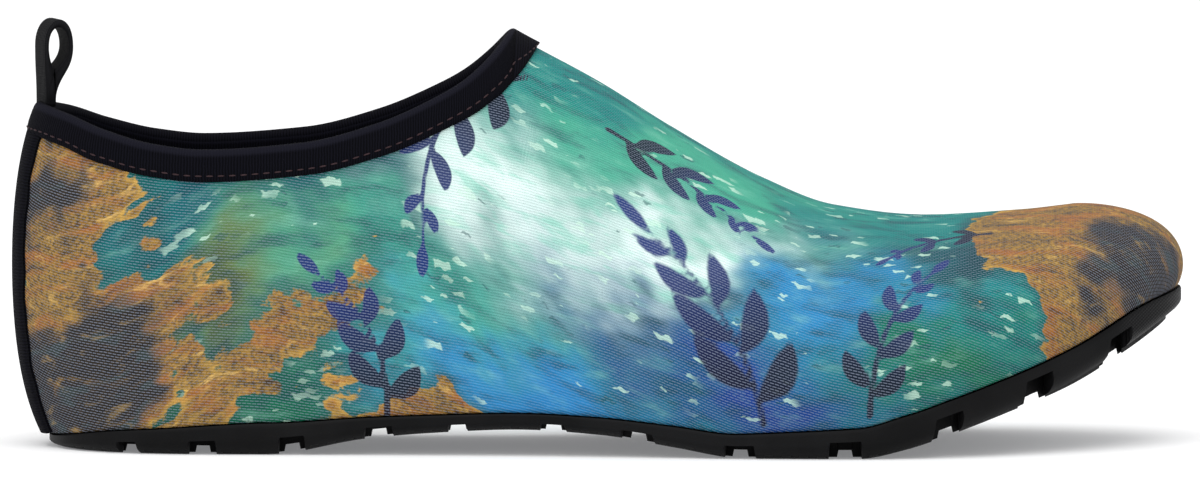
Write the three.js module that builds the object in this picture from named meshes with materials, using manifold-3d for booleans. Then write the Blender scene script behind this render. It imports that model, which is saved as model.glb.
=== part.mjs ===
// A slip-on water shoe for the right foot, in millimetres.
// X runs from the heel to the toe, Y to the inner side of the foot, and Z is up from the floor.
import * as THREE from 'three';
import Module from 'manifold-3d';

const wasm = await Module();
wasm.setup();

// Sizes of the last
const lastLength = 269;
const ballWidth = 96;
const instepHeight = 94.6;
const toeTop = 54;
const heelHeight = 78;
const collarDip = 68.8;
const toeLean = 9;
const heelFan = 29;
const toeFan = 25;

// Sizes of the sole
const soleThickness = 5.6;
const toeSpring = 30;
const archRise = 6;
const soleMargin = 0.8;
const notchDepth = 7;
const notchWidth = 5.4;
const grooveWidth = 3;
const grooveDepth = 1.6;
const cutOverhang = 4;

// Sizes of the cloth parts
const wall = 1.8;
const seamGap = 0.3;
const insoleThickness = 3.2;
const insoleClearance = 0.45;
const bindingThickness = 1.1;
const bindingWidth = 6.2;
const tapeThickness = 0.8;
const tapeWidth = 22;
const tapeFoot = 1.6;
const tapeClearance = 0.6;

// Sizes of the pull loop
const loopHeight = 20.4;
const loopWebbing = 9;
const loopThickness = 1.2;
const loopEye = 4.6;
const loopLean = 2;
const loopTurn = THREE.MathUtils.degToRad(17);

// How finely the curved faces are cut
const heelStations = 22;
const throatStations = 4;
const foreStations = 22;
const wallRows = 10;
const bindingRows = 2;
const tapeColumns = 8;
const tapeRows = 10;

// Sections of the last. 'at' is a share of the length; 'outer' and 'inner' are half widths as shares of
// the ball width; 'ridge' goes from the toe's height at 0 to the instep's at 1; 'tuck' is the angle in
// degrees by which the wall turns in under its widest line; 'square' makes the section fuller.
const lastRows = [
  { at: 0.00, outer: 0.335, inner: 0.335, ridge: 1.01, tuck: 46, square: 0.22 },
  { at: 0.05, outer: 0.338, inner: 0.338, ridge: 1.01, tuck: 37, square: 0.20 },
  { at: 0.11, outer: 0.342, inner: 0.342, ridge: 1.02, tuck: 28, square: 0.16 },
  { at: 0.14, outer: 0.344, inner: 0.341, ridge: 1.16, tuck: 25, square: 0.13 },
  { at: 0.20, outer: 0.348, inner: 0.336, ridge: 1.39, tuck: 22, square: 0.10 },
  { at: 0.30, outer: 0.362, inner: 0.312, ridge: 1.36, tuck: 20, square: 0.06 },
  { at: 0.37, outer: 0.380, inner: 0.304, ridge: 1.22, tuck: 20, square: 0.00 },
  { at: 0.4255, outer: 0.398, inner: 0.312, ridge: 1.00, tuck: 20, square: -0.04 },
  { at: 0.50, outer: 0.430, inner: 0.350, ridge: 0.73, tuck: 20, square: -0.08 },
  { at: 0.56, outer: 0.462, inner: 0.395, ridge: 0.48, tuck: 20, square: -0.06 },
  { at: 0.64, outer: 0.492, inner: 0.452, ridge: 0.18, tuck: 20, square: 0.00 },
  { at: 0.70, outer: 0.502, inner: 0.490, ridge: 0.025, tuck: 20, square: 0.04 },
  { at: 0.78, outer: 0.488, inner: 0.512, ridge: -0.037, tuck: 20, square: 0.08 },
  { at: 0.86, outer: 0.445, inner: 0.500, ridge: -0.01, tuck: 20, square: 0.10 },
  { at: 0.93, outer: 0.385, inner: 0.470, ridge: 0.040, tuck: 20, square: 0.11 },
  { at: 1.00, outer: 0.330, inner: 0.430, ridge: 0.045, tuck: 20, square: 0.10 },
];

// The collar's edge. 'back' goes from the dip at 0 to the heel's height at 1, 'front' to the instep's.
const collarRows = [
  { at: 0.000, back: 1.03, front: 0.000 },
  { at: 0.016, back: 1.00, front: 0.000 },
  { at: 0.040, back: 0.84, front: 0.000 },
  { at: 0.075, back: 0.46, front: 0.000 },
  { at: 0.118, back: 0.13, front: 0.000 },
  { at: 0.160, back: 0.00, front: 0.000 },
  { at: 0.246, back: 0.00, front: 0.062 },
  { at: 0.311, back: 0.00, front: 0.236 },
  { at: 0.360, back: 0.00, front: 0.457 },
  { at: 0.385, back: 0.00, front: 0.605 },
  { at: 0.409, back: 0.00, front: 0.818 },
  { at: 0.425, back: 0.00, front: 1.010 },
  { at: 0.450, back: 0.00, front: 1.360 },
];

// The sole's side. 'spring' is a share of the toe spring, 'arch' of the arch's rise, 'thick' of the
// sole's thickness.
const soleRows = [
  { at: 0.00, spring: 0.00, arch: 0.00, thick: 0.40 },
  { at: 0.025, spring: 0.00, arch: 0.00, thick: 0.52 },
  { at: 0.052, spring: 0.00, arch: 0.00, thick: 0.69 },
  { at: 0.08, spring: 0.00, arch: 0.00, thick: 0.87 },
  { at: 0.13, spring: 0.00, arch: 0.00, thick: 1.05 },
  { at: 0.18, spring: 0.00, arch: 0.00, thick: 1.22 },
  { at: 0.215, spring: 0.00, arch: 0.00, thick: 1.30 },
  { at: 0.30, spring: 0.00, arch: 0.62, thick: 0.88 },
  { at: 0.36, spring: 0.00, arch: 0.86, thick: 0.74 },
  { at: 0.43, spring: 0.00, arch: 1.00, thick: 0.68 },
  { at: 0.50, spring: 0.00, arch: 0.82, thick: 0.72 },
  { at: 0.56, spring: 0.00, arch: 0.40, thick: 0.88 },
  { at: 0.62, spring: 0.00, arch: 0.00, thick: 1.00 },
  { at: 0.72, spring: 0.00, arch: 0.00, thick: 1.25 },
  { at: 0.76, spring: 0.065, arch: 0.00, thick: 1.42 },
  { at: 0.80, spring: 0.18, arch: 0.00, thick: 1.45 },
  { at: 0.85, spring: 0.34, arch: 0.00, thick: 1.45 },
  { at: 0.90, spring: 0.51, arch: 0.00, thick: 1.52 },
  { at: 0.95, spring: 0.755, arch: 0.00, thick: 1.52 },
  { at: 1.00, spring: 1.04, arch: 0.00, thick: 0.95 },
];

// How far the sole reaches out past the upper's edge, in margins. The upper bulges over it at the heel.
const lipRows = [
  { at: 0.024, lip: -1.2 },
  { at: 0.045, lip: 0 },
  { at: 0.09, lip: 1 },
  { at: 1.00, lip: 1 },
];

// The sole's side from top to bottom. 'down' is a share of the thickness there, 'out' of the margin.
const sideRows = [
  { down: 0.00, out: 1.0 },
  { down: 0.50, out: 1.0 },
  { down: 0.86, out: -0.9 },
  { down: 1.00, out: -3.4 },
];

// Notches between the lugs. 'at' is a share of the length, 'wide' of the notch width, 'high' of the
// sole's thickness there.
const notchRows = [
  { at: 0.093, wide: 0.8, high: 0.52 },
  { at: 0.160, wide: 1.1, high: 0.50 },
  { at: 0.237, wide: 1.0, high: 0.55 },
  { at: 0.311, wide: 1.1, high: 0.55 },
  { at: 0.378, wide: 0.7, high: 0.45 },
  { at: 0.459, wide: 1.0, high: 0.45 },
  { at: 0.531, wide: 1.3, high: 0.50 },
  { at: 0.618, wide: 1.2, high: 0.55 },
  { at: 0.708, wide: 1.3, high: 0.60 },
  { at: 0.796, wide: 1.1, high: 0.62 },
  { at: 0.873, wide: 1.1, high: 0.70 },
  { at: 0.945, wide: 0.9, high: 0.66 },
];

const OUTER = -1;
const INNER = 1;

// A smooth curve through one column of a table, with no overshoot between its rows
function curve(rows, column) {
  const xs = rows.map((row) => row.at);
  const ys = rows.map((row) => row[column]);
  const steps = xs.slice(1).map((x, i) => x - xs[i]);
  const slopes = steps.map((step, i) => (ys[i + 1] - ys[i]) / step);
  const bend = (i) => {
    if (i === 0) return slopes[0];
    if (i === slopes.length) return slopes[i - 1];
    if (slopes[i - 1] * slopes[i] <= 0) return 0;
    const before = 2 * steps[i] + steps[i - 1];
    const after = steps[i] + 2 * steps[i - 1];
    return (before + after) / (before / slopes[i - 1] + after / slopes[i]);
  };
  const tangents = xs.map((_, i) => bend(i));
  return (x) => {
    const clamped = Math.min(Math.max(x, xs[0]), xs[xs.length - 1]);
    let i = 0;
    while (i < slopes.length - 1 && clamped > xs[i + 1]) i += 1;
    const t = (clamped - xs[i]) / steps[i];
    const rise = ys[i + 1] - ys[i];
    const a = steps[i] * tangents[i];
    const b = steps[i] * tangents[i + 1];
    return ys[i] + t * (a + t * (3 * rise - 2 * a - b + t * (a + b - 2 * rise)));
  };
}

const outerShare = curve(lastRows, 'outer');
const innerShare = curve(lastRows, 'inner');
const ridgeShare = curve(lastRows, 'ridge');
const tuckDegrees = curve(lastRows, 'tuck');
const squareness = curve(lastRows, 'square');
const collarBack = curve(collarRows, 'back');
const collarFront = curve(collarRows, 'front');
const springShare = curve(soleRows, 'spring');
const archShare = curve(soleRows, 'arch');
const thickShare = curve(soleRows, 'thick');
const lipShare = curve(lipRows, 'lip');

// The root of a function that changes sign between two values
function solve(low, high, miss) {
  const startSign = Math.sign(miss(low));
  let a = low;
  let b = high;
  for (let i = 0; i < 48; i += 1) {
    const middle = (a + b) / 2;
    if (Math.sign(miss(middle)) === startSign) a = middle;
    else b = middle;
  }
  return (a + b) / 2;
}

const soleBottom = (x) => toeSpring * springShare(x / lastLength) + archRise * archShare(x / lastLength);
const soleDepth = (x) => soleThickness * thickShare(x / lastLength);
const soleTop = (x) => soleBottom(x) + soleDepth(x);
const ridgeHeight = (x) => toeTop + (instepHeight - toeTop) * ridgeShare(x / lastLength);
const collarHeight = (x) => collarDip + (heelHeight - collarDip) * collarBack(x / lastLength)
  + (instepHeight - collarDip) * collarFront(x / lastLength);

// How steeply a height rises along the shoe, measured over a step on each side
const slopeStep = 1;
const slopeOf = (height, x) => (height(x + slopeStep) - height(x - slopeStep)) / (2 * slopeStep);

// A superellipse's quarter, from 0 at the tip to 1 where the side begins
function roundEnd(share, power) {
  const t = 1 - Math.min(Math.max(share, 0), 1);
  return (1 - t ** power) ** (1 / power);
}

// The share of the length that goes with a station: stations crowd at both ends, where the outline turns
const shareAt = (station) => (1 - Math.cos(Math.PI * station)) / 2;
const stationAt = (share) => Math.acos(1 - 2 * share) / Math.PI;

// The widest line of the shoe in plan, at a share of its length
const heelCap = 0.165;
const heelSide = stationAt(heelCap);
const toeCaps = { [OUTER]: { from: 0.74, power: 2.0 }, [INNER]: { from: 0.80, power: 2.4 } };
const heelPower = 2.1;
function widestLine(at, side) {
  const share = side === OUTER ? outerShare(at) : innerShare(at);
  const cap = toeCaps[side];
  const heel = roundEnd(at / heelCap, heelPower);
  const toe = roundEnd((1 - at) / (1 - cap.from), cap.power);
  const y = toeLean * (1 - toe) + side * share * ballWidth * toe * heel;
  return new THREE.Vector2(at * lastLength, y);
}

// The line under the ridge, where the sections meet: they fan out round the heel and round the toe
const leanFrom = 0.45;
function spine(at) {
  const heelReach = 2 * heelFan;
  const toeReach = 2 * toeFan;
  const back = Math.max(heelReach - at * lastLength, 0);
  const front = Math.max(at * lastLength - (lastLength - toeReach), 0);
  const x = at * lastLength + back ** 2 / (2 * heelReach) - front ** 2 / (2 * toeReach);
  const lean = THREE.MathUtils.smoothstep(x, leanFrom * lastLength, lastLength - toeFan);
  return new THREE.Vector2(x, toeLean * lean);
}

const tuckAngle = (station) => THREE.MathUtils.degToRad(tuckDegrees(shareAt(station)));
const TOP = Math.PI / 2;

// A point of the upper's outside. The angle goes from minus the tuck angle at the sole to TOP on the ridge;
// past either end and past the ridge the surface goes on down the other side.
function skin(station, angle, side) {
  if (station < 0) return skin(-station, angle, -side);
  if (station > 1) return skin(2 - station, angle, -side);
  if (angle > TOP) return skin(station, Math.PI - angle, -side);
  const at = shareAt(station);
  const middle = spine(at);
  const square = squareness(at);
  const reach = (a) => Math.cos(a) * (1 + square * Math.sin(a) ** 2);
  const tuck = tuckAngle(station);
  const edge = widestLine(at, side);
  const foot = middle.clone().lerp(edge, reach(tuck));
  const low = soleTop(foot.x) + seamGap;
  const climb = (Math.sin(angle) + Math.sin(tuck)) / (1 + Math.sin(tuck));
  const plan = middle.clone().lerp(edge, reach(angle));
  return new THREE.Vector3(plan.x, plan.y, low + (ridgeHeight(middle.x) - low) * climb);
}

// The direction square to the skin. The stations run together where the ridge ends over the toe, so the
// last one on the ridge takes the direction from a little behind it.
const nudge = 1e-3;
const ridgeEnd = 1 - 4 * nudge;
function outward(station, angle, side) {
  const at = angle > TOP - nudge ? Math.min(station, ridgeEnd) : station;
  const along = skin(at + nudge, angle, side).sub(skin(at - nudge, angle, side));
  const up = skin(at, angle + nudge, side).sub(skin(at, angle - nudge, side));
  return along.cross(up).multiplyScalar(-side).normalize();
}

// A point at a distance outside the skin, or inside it where the distance is negative
function shell(station, angle, side, distance) {
  return skin(station, angle, side).addScaledVector(outward(station, angle, side), distance);
}

// A point of the upper's lower edge, inset level with the sole by a thickness measured square to the wall
function footEdge(station, side, inset) {
  const angle = -tuckAngle(station);
  const normal = outward(station, angle, side);
  const level = Math.hypot(normal.x, normal.y);
  const step = new THREE.Vector3(normal.x, normal.y, 0).multiplyScalar(-inset / level ** 2);
  return skin(station, angle, side).add(step);
}

// The angle at which a section reaches the collar's edge, lowered by a drop; TOP in front of the throat
function angleBelowCollar(station, side, drop) {
  const miss = (angle) => {
    const point = skin(station, angle, side);
    return collarHeight(point.x) - drop - point.z;
  };
  if (miss(TOP) > 0) return TOP;
  return solve(-tuckAngle(station), TOP, miss);
}

// The station where the collar's edge, lowered by a drop, crosses the ridge, between two shares of the length
const throatFrom = 0.3;
const throatTo = 0.6;
function stationOfThroat(drop) {
  const miss = (at) => {
    const station = stationAt(at);
    const top = skin(station, TOP, OUTER);
    return collarHeight(top.x) - drop(station) - top.z;
  };
  return stationAt(solve(throatFrom, throatTo, miss));
}

// How far the binding's lower edge lies below the collar's, straight down
function bindingDrop(station) {
  const x = shareAt(station) * lastLength;
  return bindingWidth * Math.hypot(1, slopeOf(collarHeight, x));
}

const throat = stationOfThroat(() => 0);
const bindingTip = stationOfThroat(bindingDrop);

// Shares of the length between two stations, crowded at both ends
function stationsBetween(from, to, count) {
  const low = shareAt(from);
  const high = shareAt(to);
  return Array.from({ length: count + 1 }, (_, i) => {
    if (i === 0) return from;
    if (i === count) return to;
    return stationAt(low + (high - low) * shareAt(i / count));
  });
}

const openStations = stationsBetween(0, throat, heelStations);
const tipStations = stationsBetween(throat, bindingTip, throatStations);
const closedStations = stationsBetween(bindingTip, 1, foreStations);
const allStations = [...openStations, ...tipStations.slice(1), ...closedStations.slice(1)];
const bindingStations = [...openStations, ...tipStations.slice(1)];

// Collects the faces of one closed body; corners that coincide are joined and faces without area left out
const cornersPerMillimetre = 2000;
class Body {
  constructor() {
    this.corners = [];
    this.keys = new Map();
    this.faces = [];
  }

  corner(point) {
    const key = point.toArray().map((v) => Math.round(v * cornersPerMillimetre)).join(' ');
    if (!this.keys.has(key)) {
      this.keys.set(key, this.corners.length);
      this.corners.push(point.clone());
    }
    return this.keys.get(key);
  }

  triangle(a, b, c) {
    const face = [a, b, c].map((point) => this.corner(point));
    if (new Set(face).size === 3) this.faces.push(face);
  }

  // Faces between two rows of points, each quad split on its shorter diagonal; 'flip' turns them over
  strip(lower, upper, flip) {
    const face = (a, b, c) => (flip ? this.triangle(a, c, b) : this.triangle(a, b, c));
    for (let i = 0; i + 1 < lower.length; i += 1) {
      const rising = lower[i].distanceTo(upper[i + 1]);
      const falling = lower[i + 1].distanceTo(upper[i]);
      if (rising < falling + nudge) {
        face(lower[i], lower[i + 1], upper[i + 1]);
        face(lower[i], upper[i + 1], upper[i]);
      } else {
        face(lower[i], lower[i + 1], upper[i]);
        face(lower[i + 1], upper[i + 1], upper[i]);
      }
    }
  }

  sheet(rows, flip) {
    for (let j = 0; j + 1 < rows.length; j += 1) this.strip(rows[j], rows[j + 1], flip);
  }

  geometry() {
    const geometry = new THREE.BufferGeometry();
    const numbers = this.corners.flatMap((point) => point.toArray());
    geometry.setAttribute('position', new THREE.Float32BufferAttribute(numbers, 3));
    geometry.setIndex(this.faces.flat());
    return geometry;
  }
}

function toSolid(geometry) {
  return new wasm.Manifold(new wasm.Mesh({
    numProp: 3,
    vertProperties: new Float32Array(geometry.attributes.position.array),
    triVerts: new Uint32Array(geometry.index.array),
  }));
}

function toGeometry(solid) {
  const mesh = solid.getMesh();
  const geometry = new THREE.BufferGeometry();
  geometry.setAttribute('position', new THREE.Float32BufferAttribute(mesh.vertProperties, 3));
  geometry.setIndex(Array.from(mesh.triVerts));
  return geometry;
}

// A grid of points over the skin: one row for each step up the wall, one point for each station
function skinRows(stations, side, count, from, to, distance) {
  return Array.from({ length: count + 1 }, (_, j) => stations.map((station) => {
    const low = from(station, side);
    const angle = low + (to(station, side) - low) * (j / count);
    return shell(station, angle, side, distance);
  }));
}

const collarAngle = (station, side) => (station >= throat ? TOP : angleBelowCollar(station, side, 0));
const bindingAngle = (station, side) => (station >= bindingTip ? TOP
  : angleBelowCollar(station, side, bindingDrop(station)));

// The upper: one hollow shell, open at the collar and underneath
function makeUpper() {
  const body = new Body();
  for (const side of [OUTER, INNER]) {
    const flip = side === INNER;
    const low = (station) => -tuckAngle(station);
    const wallSheet = (distance) => [
      ...skinRows(allStations, side, wallRows, low, bindingAngle, distance),
      ...skinRows(allStations, side, bindingRows, bindingAngle, collarAngle, distance).slice(1),
    ];
    const outside = wallSheet(0);
    const inside = wallSheet(-wall);
    inside[0] = allStations.map((station) => footEdge(station, side, wall));
    const edge = wallRows + bindingRows;
    body.sheet(outside, flip);
    body.sheet(inside, !flip);
    body.strip(inside[0], outside[0], flip);
    const open = openStations.length;
    body.strip(outside[edge].slice(0, open), inside[edge].slice(0, open), flip);
  }
  return body.geometry();
}

// A plate with flat rungs from its outer to its inner outline, given row by row from its top to its bottom
function plate(outline, sectionRows) {
  const body = new Body();
  const rows = sectionRows.map((row) => ({
    [OUTER]: outline(OUTER, row),
    [INNER]: outline(INNER, row),
  }));
  for (const side of [OUTER, INNER]) {
    body.sheet(rows.map((row) => row[side]), side === OUTER);
  }
  body.strip(rows[0][OUTER], rows[0][INNER], false);
  const last = rows[rows.length - 1];
  body.strip(last[OUTER], last[INNER], true);
  return body.geometry();
}

// The direction square to the upper's lower edge, in plan
function footOutward(station, side) {
  if (station === 0) return new THREE.Vector3(-1, 0, 0);
  if (station === 1) return new THREE.Vector3(1, 0, 0);
  const ahead = footEdge(station + nudge, side, 0);
  const behind = footEdge(station - nudge, side, 0);
  const along = ahead.sub(behind);
  return new THREE.Vector3(along.y, -along.x, 0).multiplyScalar(-side).normalize();
}

// The outsole, with notches cut between its lugs and grooves that join them underneath
function makeOutsole() {
  const outline = (side, row) => allStations.map((station) => {
    const edge = footEdge(station, side, 0);
    const out = soleMargin * (row.out - 1 + lipShare(edge.x / lastLength));
    const point = edge.clone().addScaledVector(footOutward(station, side), out);
    const top = soleTop(edge.x);
    const depth = soleDepth(edge.x);
    return new THREE.Vector3(point.x, point.y, top - depth * row.down);
  });
  let solid = toSolid(plate(outline, sideRows));
  for (const row of notchRows) {
    for (const side of [OUTER, INNER]) solid = solid.subtract(notchCut(row, side));
    solid = solid.subtract(grooveCut(row));
  }
  return toGeometry(solid);
}

// Turns a box's own axes to a point of the sole's edge: X inwards, Y along the edge, Z up
function placedBox(sizes, origin, inward, along) {
  const up = inward.clone().cross(along).normalize();
  const box = new THREE.BoxGeometry(sizes.x, sizes.y, sizes.z);
  box.applyMatrix4(new THREE.Matrix4().makeBasis(inward, along, up).setPosition(origin));
  const plain = new Body();
  const place = box.attributes.position;
  const corner = (i) => new THREE.Vector3().fromBufferAttribute(place, i);
  for (let i = 0; i < box.index.count; i += 3) {
    plain.triangle(corner(box.index.getX(i)), corner(box.index.getX(i + 1)), corner(box.index.getX(i + 2)));
  }
  return toSolid(plain.geometry());
}

function notchCut(row, side) {
  const station = stationAt(row.at);
  const edge = footEdge(station, side, 0);
  const slope = slopeOf(soleBottom, edge.x);
  const inward = footOutward(station, side).negate();
  const along = new THREE.Vector3(-inward.y, inward.x, -inward.y * slope).normalize();
  inward.setZ(inward.x * slope);
  const square = inward.clone().addScaledVector(along, -inward.dot(along)).normalize();
  const high = soleDepth(edge.x) * row.high;
  const sizes = new THREE.Vector3(notchDepth + cutOverhang, notchWidth * row.wide, 2 * high);
  const centre = new THREE.Vector3(edge.x, edge.y, soleBottom(edge.x));
  centre.addScaledVector(square, (notchDepth - cutOverhang) / 2);
  return placedBox(sizes, centre, square, along);
}

function grooveCut(row) {
  const station = stationAt(row.at);
  const outer = footEdge(station, OUTER, 0);
  const inner = footEdge(station, INNER, 0);
  const across = new THREE.Vector3(0, 1, 0);
  const along = new THREE.Vector3(-1, 0, -slopeOf(soleBottom, outer.x)).normalize();
  const sizes = new THREE.Vector3(inner.y - outer.y + cutOverhang, grooveWidth, 2 * grooveDepth);
  const centre = new THREE.Vector3(outer.x, (outer.y + inner.y) / 2, soleBottom(outer.x));
  return placedBox(sizes, centre, across, along);
}

// The insole: a foam sheet that lies on the sole inside the wall
function makeInsole() {
  const heights = [{ up: insoleThickness }, { up: 0 }];
  const outline = (side, row) => allStations.map((station) => {
    const edge = footEdge(station, side, wall);
    const point = edge.clone().addScaledVector(footOutward(station, side), -insoleClearance);
    return new THREE.Vector3(point.x, point.y, soleTop(edge.x) + seamGap + row.up);
  });
  return plate(outline, heights);
}

// The direction in the wall that points out over the collar's edge
function overCollar(station, side) {
  const edgeAt = (value) => {
    const passed = value > throat ? 2 * throat - value : value;
    const turned = value < 0 || value > throat ? -side : side;
    const near = Math.abs(passed);
    return skin(near, angleBelowCollar(near, turned, 0), turned);
  };
  const along = edgeAt(station + nudge).sub(edgeAt(station - nudge));
  const normal = outward(station, collarAngle(station, side), side);
  const over = along.cross(normal).normalize();
  return over.z < 0 ? over.negate() : over;
}

// The binding's fold over the collar's edge. 'across' goes from 1 on the outside to -1 on the lining, as a
// share of half the fold's thickness; 'rise' is a share of the binding's reach over the edge.
const foldRows = [
  { across: 0.7, rise: 0.75 },
  { across: 0, rise: 1 },
  { across: -0.7, rise: 0.75 },
];
const bindingReach = seamGap + bindingThickness;

function overEdge(station, side, distance, rise) {
  const edge = shell(station, collarAngle(station, side), side, distance);
  return edge.addScaledVector(overCollar(station, side), rise);
}

function foldPoint(station, side, row) {
  const distance = row.across * (wall / 2 + bindingReach) - wall / 2;
  return overEdge(station, side, distance, row.rise * bindingReach);
}

// The binding: a tape folded over the collar's edge, with a leg on each side of the wall
function makeBinding() {
  const body = new Body();
  const open = openStations.length;
  for (const side of [OUTER, INNER]) {
    const flip = side === INNER;
    const legs = (distance) => skinRows(bindingStations, side, bindingRows, bindingAngle, collarAngle, distance);
    const outside = legs(bindingReach);
    const lining = legs(-wall - bindingReach);
    const underOutside = legs(seamGap);
    const underLining = legs(-wall - seamGap);
    body.sheet(outside, flip);
    body.sheet(lining, !flip);
    body.sheet(underOutside, !flip);
    body.sheet(underLining, flip);
    body.strip(underOutside[0], outside[0], flip);
    body.strip(lining[0], underLining[0], flip);
    const fold = [
      outside[bindingRows].slice(0, open),
      ...foldRows.map((row) => openStations.map((station) => foldPoint(station, side, row))),
      lining[bindingRows].slice(0, open),
    ];
    body.sheet(fold, flip);
    const channel = [
      underOutside[bindingRows].slice(0, open),
      openStations.map((station) => overEdge(station, side, seamGap, seamGap)),
      openStations.map((station) => overEdge(station, side, -wall - seamGap, seamGap)),
      underLining[bindingRows].slice(0, open),
    ];
    body.sheet(channel, !flip);
  }
  return body.geometry();
}

// The heel tape: a strip over the back seam, from the sole to the binding
function makeHeelTape() {
  const grid = (distance) => Array.from({ length: tapeRows + 1 }, (_, j) => (
    Array.from({ length: tapeColumns + 1 }, (_, i) => {
      const y = tapeWidth * (i / tapeColumns - 0.5);
      const side = y < 0 ? OUTER : INNER;
      const angleFor = (station) => {
        const low = solve(-tuckAngle(station), 0, (angle) => (
          skin(station, -tuckAngle(station), side).z + tapeFoot - skin(station, angle, side).z));
        const high = angleBelowCollar(station, side, bindingDrop(station) + tapeClearance);
        return low + (high - low) * (j / tapeRows);
      };
      const miss = (station) => Math.abs(y) - Math.abs(skin(station, angleFor(station), side).y);
      const station = y === 0 ? 0 : solve(0, heelSide, miss);
      return shell(station, angleFor(station), side, distance);
    })
  ));
  const body = new Body();
  const face = grid(seamGap + tapeThickness);
  const back = grid(seamGap);
  body.sheet(face, true);
  body.sheet(back, false);
  body.strip(back[0], face[0], true);
  body.strip(face[tapeRows], back[tapeRows], true);
  body.strip(face.map((row) => row[0]), back.map((row) => row[0]), true);
  body.strip(back.map((row) => row[tapeColumns]), face.map((row) => row[tapeColumns]), true);
  return body.geometry();
}

// The pull loop's heights in side view, as shares of its own height; its crown, in thicknesses of webbing
const loopShares = { waist: 0.3, shoulder: 0.62, eyeFoot: 0.36, eyeWaist: 0.45 };
const loopCrown = 1.6;
const loopSegments = 7;

// The pull loop: webbing folded into an eye, its two ends stitched together above the collar
function makePullLoop() {
  const stem = loopThickness;
  const eyeHalf = loopEye / 2;
  const shoulder = loopShares.shoulder * loopHeight;
  const outer = new THREE.Shape();
  const back = loopLean - eyeHalf - stem;
  const front = loopLean + eyeHalf + stem;
  const waist = loopShares.waist * loopHeight;
  outer.moveTo(-stem, 0);
  outer.bezierCurveTo(-stem, waist, back, waist, back, shoulder);
  outer.bezierCurveTo(back, loopHeight, front, loopHeight + stem, front, shoulder);
  outer.bezierCurveTo(front, waist, stem, waist, stem, 0);
  const eye = new THREE.Path();
  const eyeFoot = loopShares.eyeFoot * loopHeight;
  const eyeTop = loopHeight - loopCrown * stem;
  const eyeWaist = loopShares.eyeWaist * loopHeight;
  const eyeBack = loopLean - eyeHalf;
  const eyeFront = loopLean + eyeHalf;
  const middle = loopLean / 2;
  eye.moveTo(middle, eyeFoot);
  eye.bezierCurveTo(middle, eyeFoot, eyeFront, eyeWaist, eyeFront, shoulder);
  eye.bezierCurveTo(eyeFront, eyeTop, eyeBack, eyeTop, eyeBack, shoulder);
  eye.bezierCurveTo(eyeBack, eyeWaist, middle, eyeFoot, middle, eyeFoot);
  outer.holes.push(eye);
  const geometry = new THREE.ExtrudeGeometry(outer, {
    depth: loopWebbing,
    bevelEnabled: false,
    curveSegments: loopSegments,
  });
  geometry.translate(0, 0, -loopWebbing / 2);
  geometry.rotateX(Math.PI / 2);
  geometry.rotateZ(loopTurn);
  return geometry;
}

function clothMaterial(color, roughness) {
  return new THREE.MeshStandardMaterial({ color, roughness, metalness: 0 });
}

const printedCloth = clothMaterial('#4fb3a6', 0.85);
const blackTape = clothMaterial('#15151b', 0.9);
const blackWebbing = clothMaterial('#1c1c1c', 0.8);
const blackRubber = clothMaterial('#1d1d1d', 0.6);
const greyFoam = clothMaterial('#2a2a2e', 0.95);

const shoe = new THREE.Group();
function addPiece(name, geometry, material) {
  const mesh = new THREE.Mesh(geometry, material);
  mesh.name = name;
  shoe.add(mesh);
  return mesh;
}

addPiece('outsole', makeOutsole(), blackRubber);
addPiece('upper', makeUpper(), printedCloth);
addPiece('insole', makeInsole(), greyFoam);
addPiece('collar_binding', makeBinding(), blackTape);
addPiece('heel_tape', makeHeelTape(), blackTape);

// The loop stands on the binding's fold at the middle of the heel
const heelFold = foldRows.map((row) => foldPoint(0, OUTER, row));
const foldTop = Math.max(...heelFold.map((point) => point.z));
const pullLoop = addPiece('pull_loop', makePullLoop(), blackWebbing);
pullLoop.position.set(heelFold[1].x, heelFold[1].y, foldTop + seamGap);

// The origin is under the middle of the shoe's box, on the floor
shoe.updateMatrixWorld(true);
const box = new THREE.Box3().setFromObject(shoe, true);
const whole = new THREE.Group();
whole.add(shoe);
shoe.position.set(-(box.min.x + box.max.x) / 2, -(box.min.y + box.max.y) / 2, -box.min.z);
whole.updateMatrixWorld(true);

export default whole;
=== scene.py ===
# %% [markdown]
# # A slip-on water shoe
#
# The real shoe is a sock of printed stretch cloth on a thin black rubber sole. A knitted tape binds its
# collar, a second tape covers the back seam, and a loop of webbing at the heel helps to pull it on.
# The solids of all six pieces come in as a fixed frame. This lesson builds a fine surface over each of
# them, from the same sizes, and gives each surface its cloth, tape, webbing, foam or rubber.

# %% Load the frame
import math

import bpy
import numpy as np
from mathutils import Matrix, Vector


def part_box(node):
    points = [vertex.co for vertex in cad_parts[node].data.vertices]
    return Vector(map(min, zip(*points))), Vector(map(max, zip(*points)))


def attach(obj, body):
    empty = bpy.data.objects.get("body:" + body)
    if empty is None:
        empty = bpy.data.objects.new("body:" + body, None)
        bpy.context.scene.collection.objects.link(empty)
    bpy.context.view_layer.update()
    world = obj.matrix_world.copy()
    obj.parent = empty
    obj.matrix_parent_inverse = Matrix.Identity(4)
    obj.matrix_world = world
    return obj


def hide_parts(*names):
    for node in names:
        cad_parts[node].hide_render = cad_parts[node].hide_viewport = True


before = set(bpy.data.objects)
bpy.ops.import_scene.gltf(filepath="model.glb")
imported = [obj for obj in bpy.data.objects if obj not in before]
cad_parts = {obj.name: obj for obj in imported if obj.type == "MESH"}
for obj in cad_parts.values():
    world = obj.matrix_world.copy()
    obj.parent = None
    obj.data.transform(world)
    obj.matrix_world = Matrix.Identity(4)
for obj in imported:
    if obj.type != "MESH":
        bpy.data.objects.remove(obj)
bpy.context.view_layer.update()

print("solids:", sorted(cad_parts))

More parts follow.
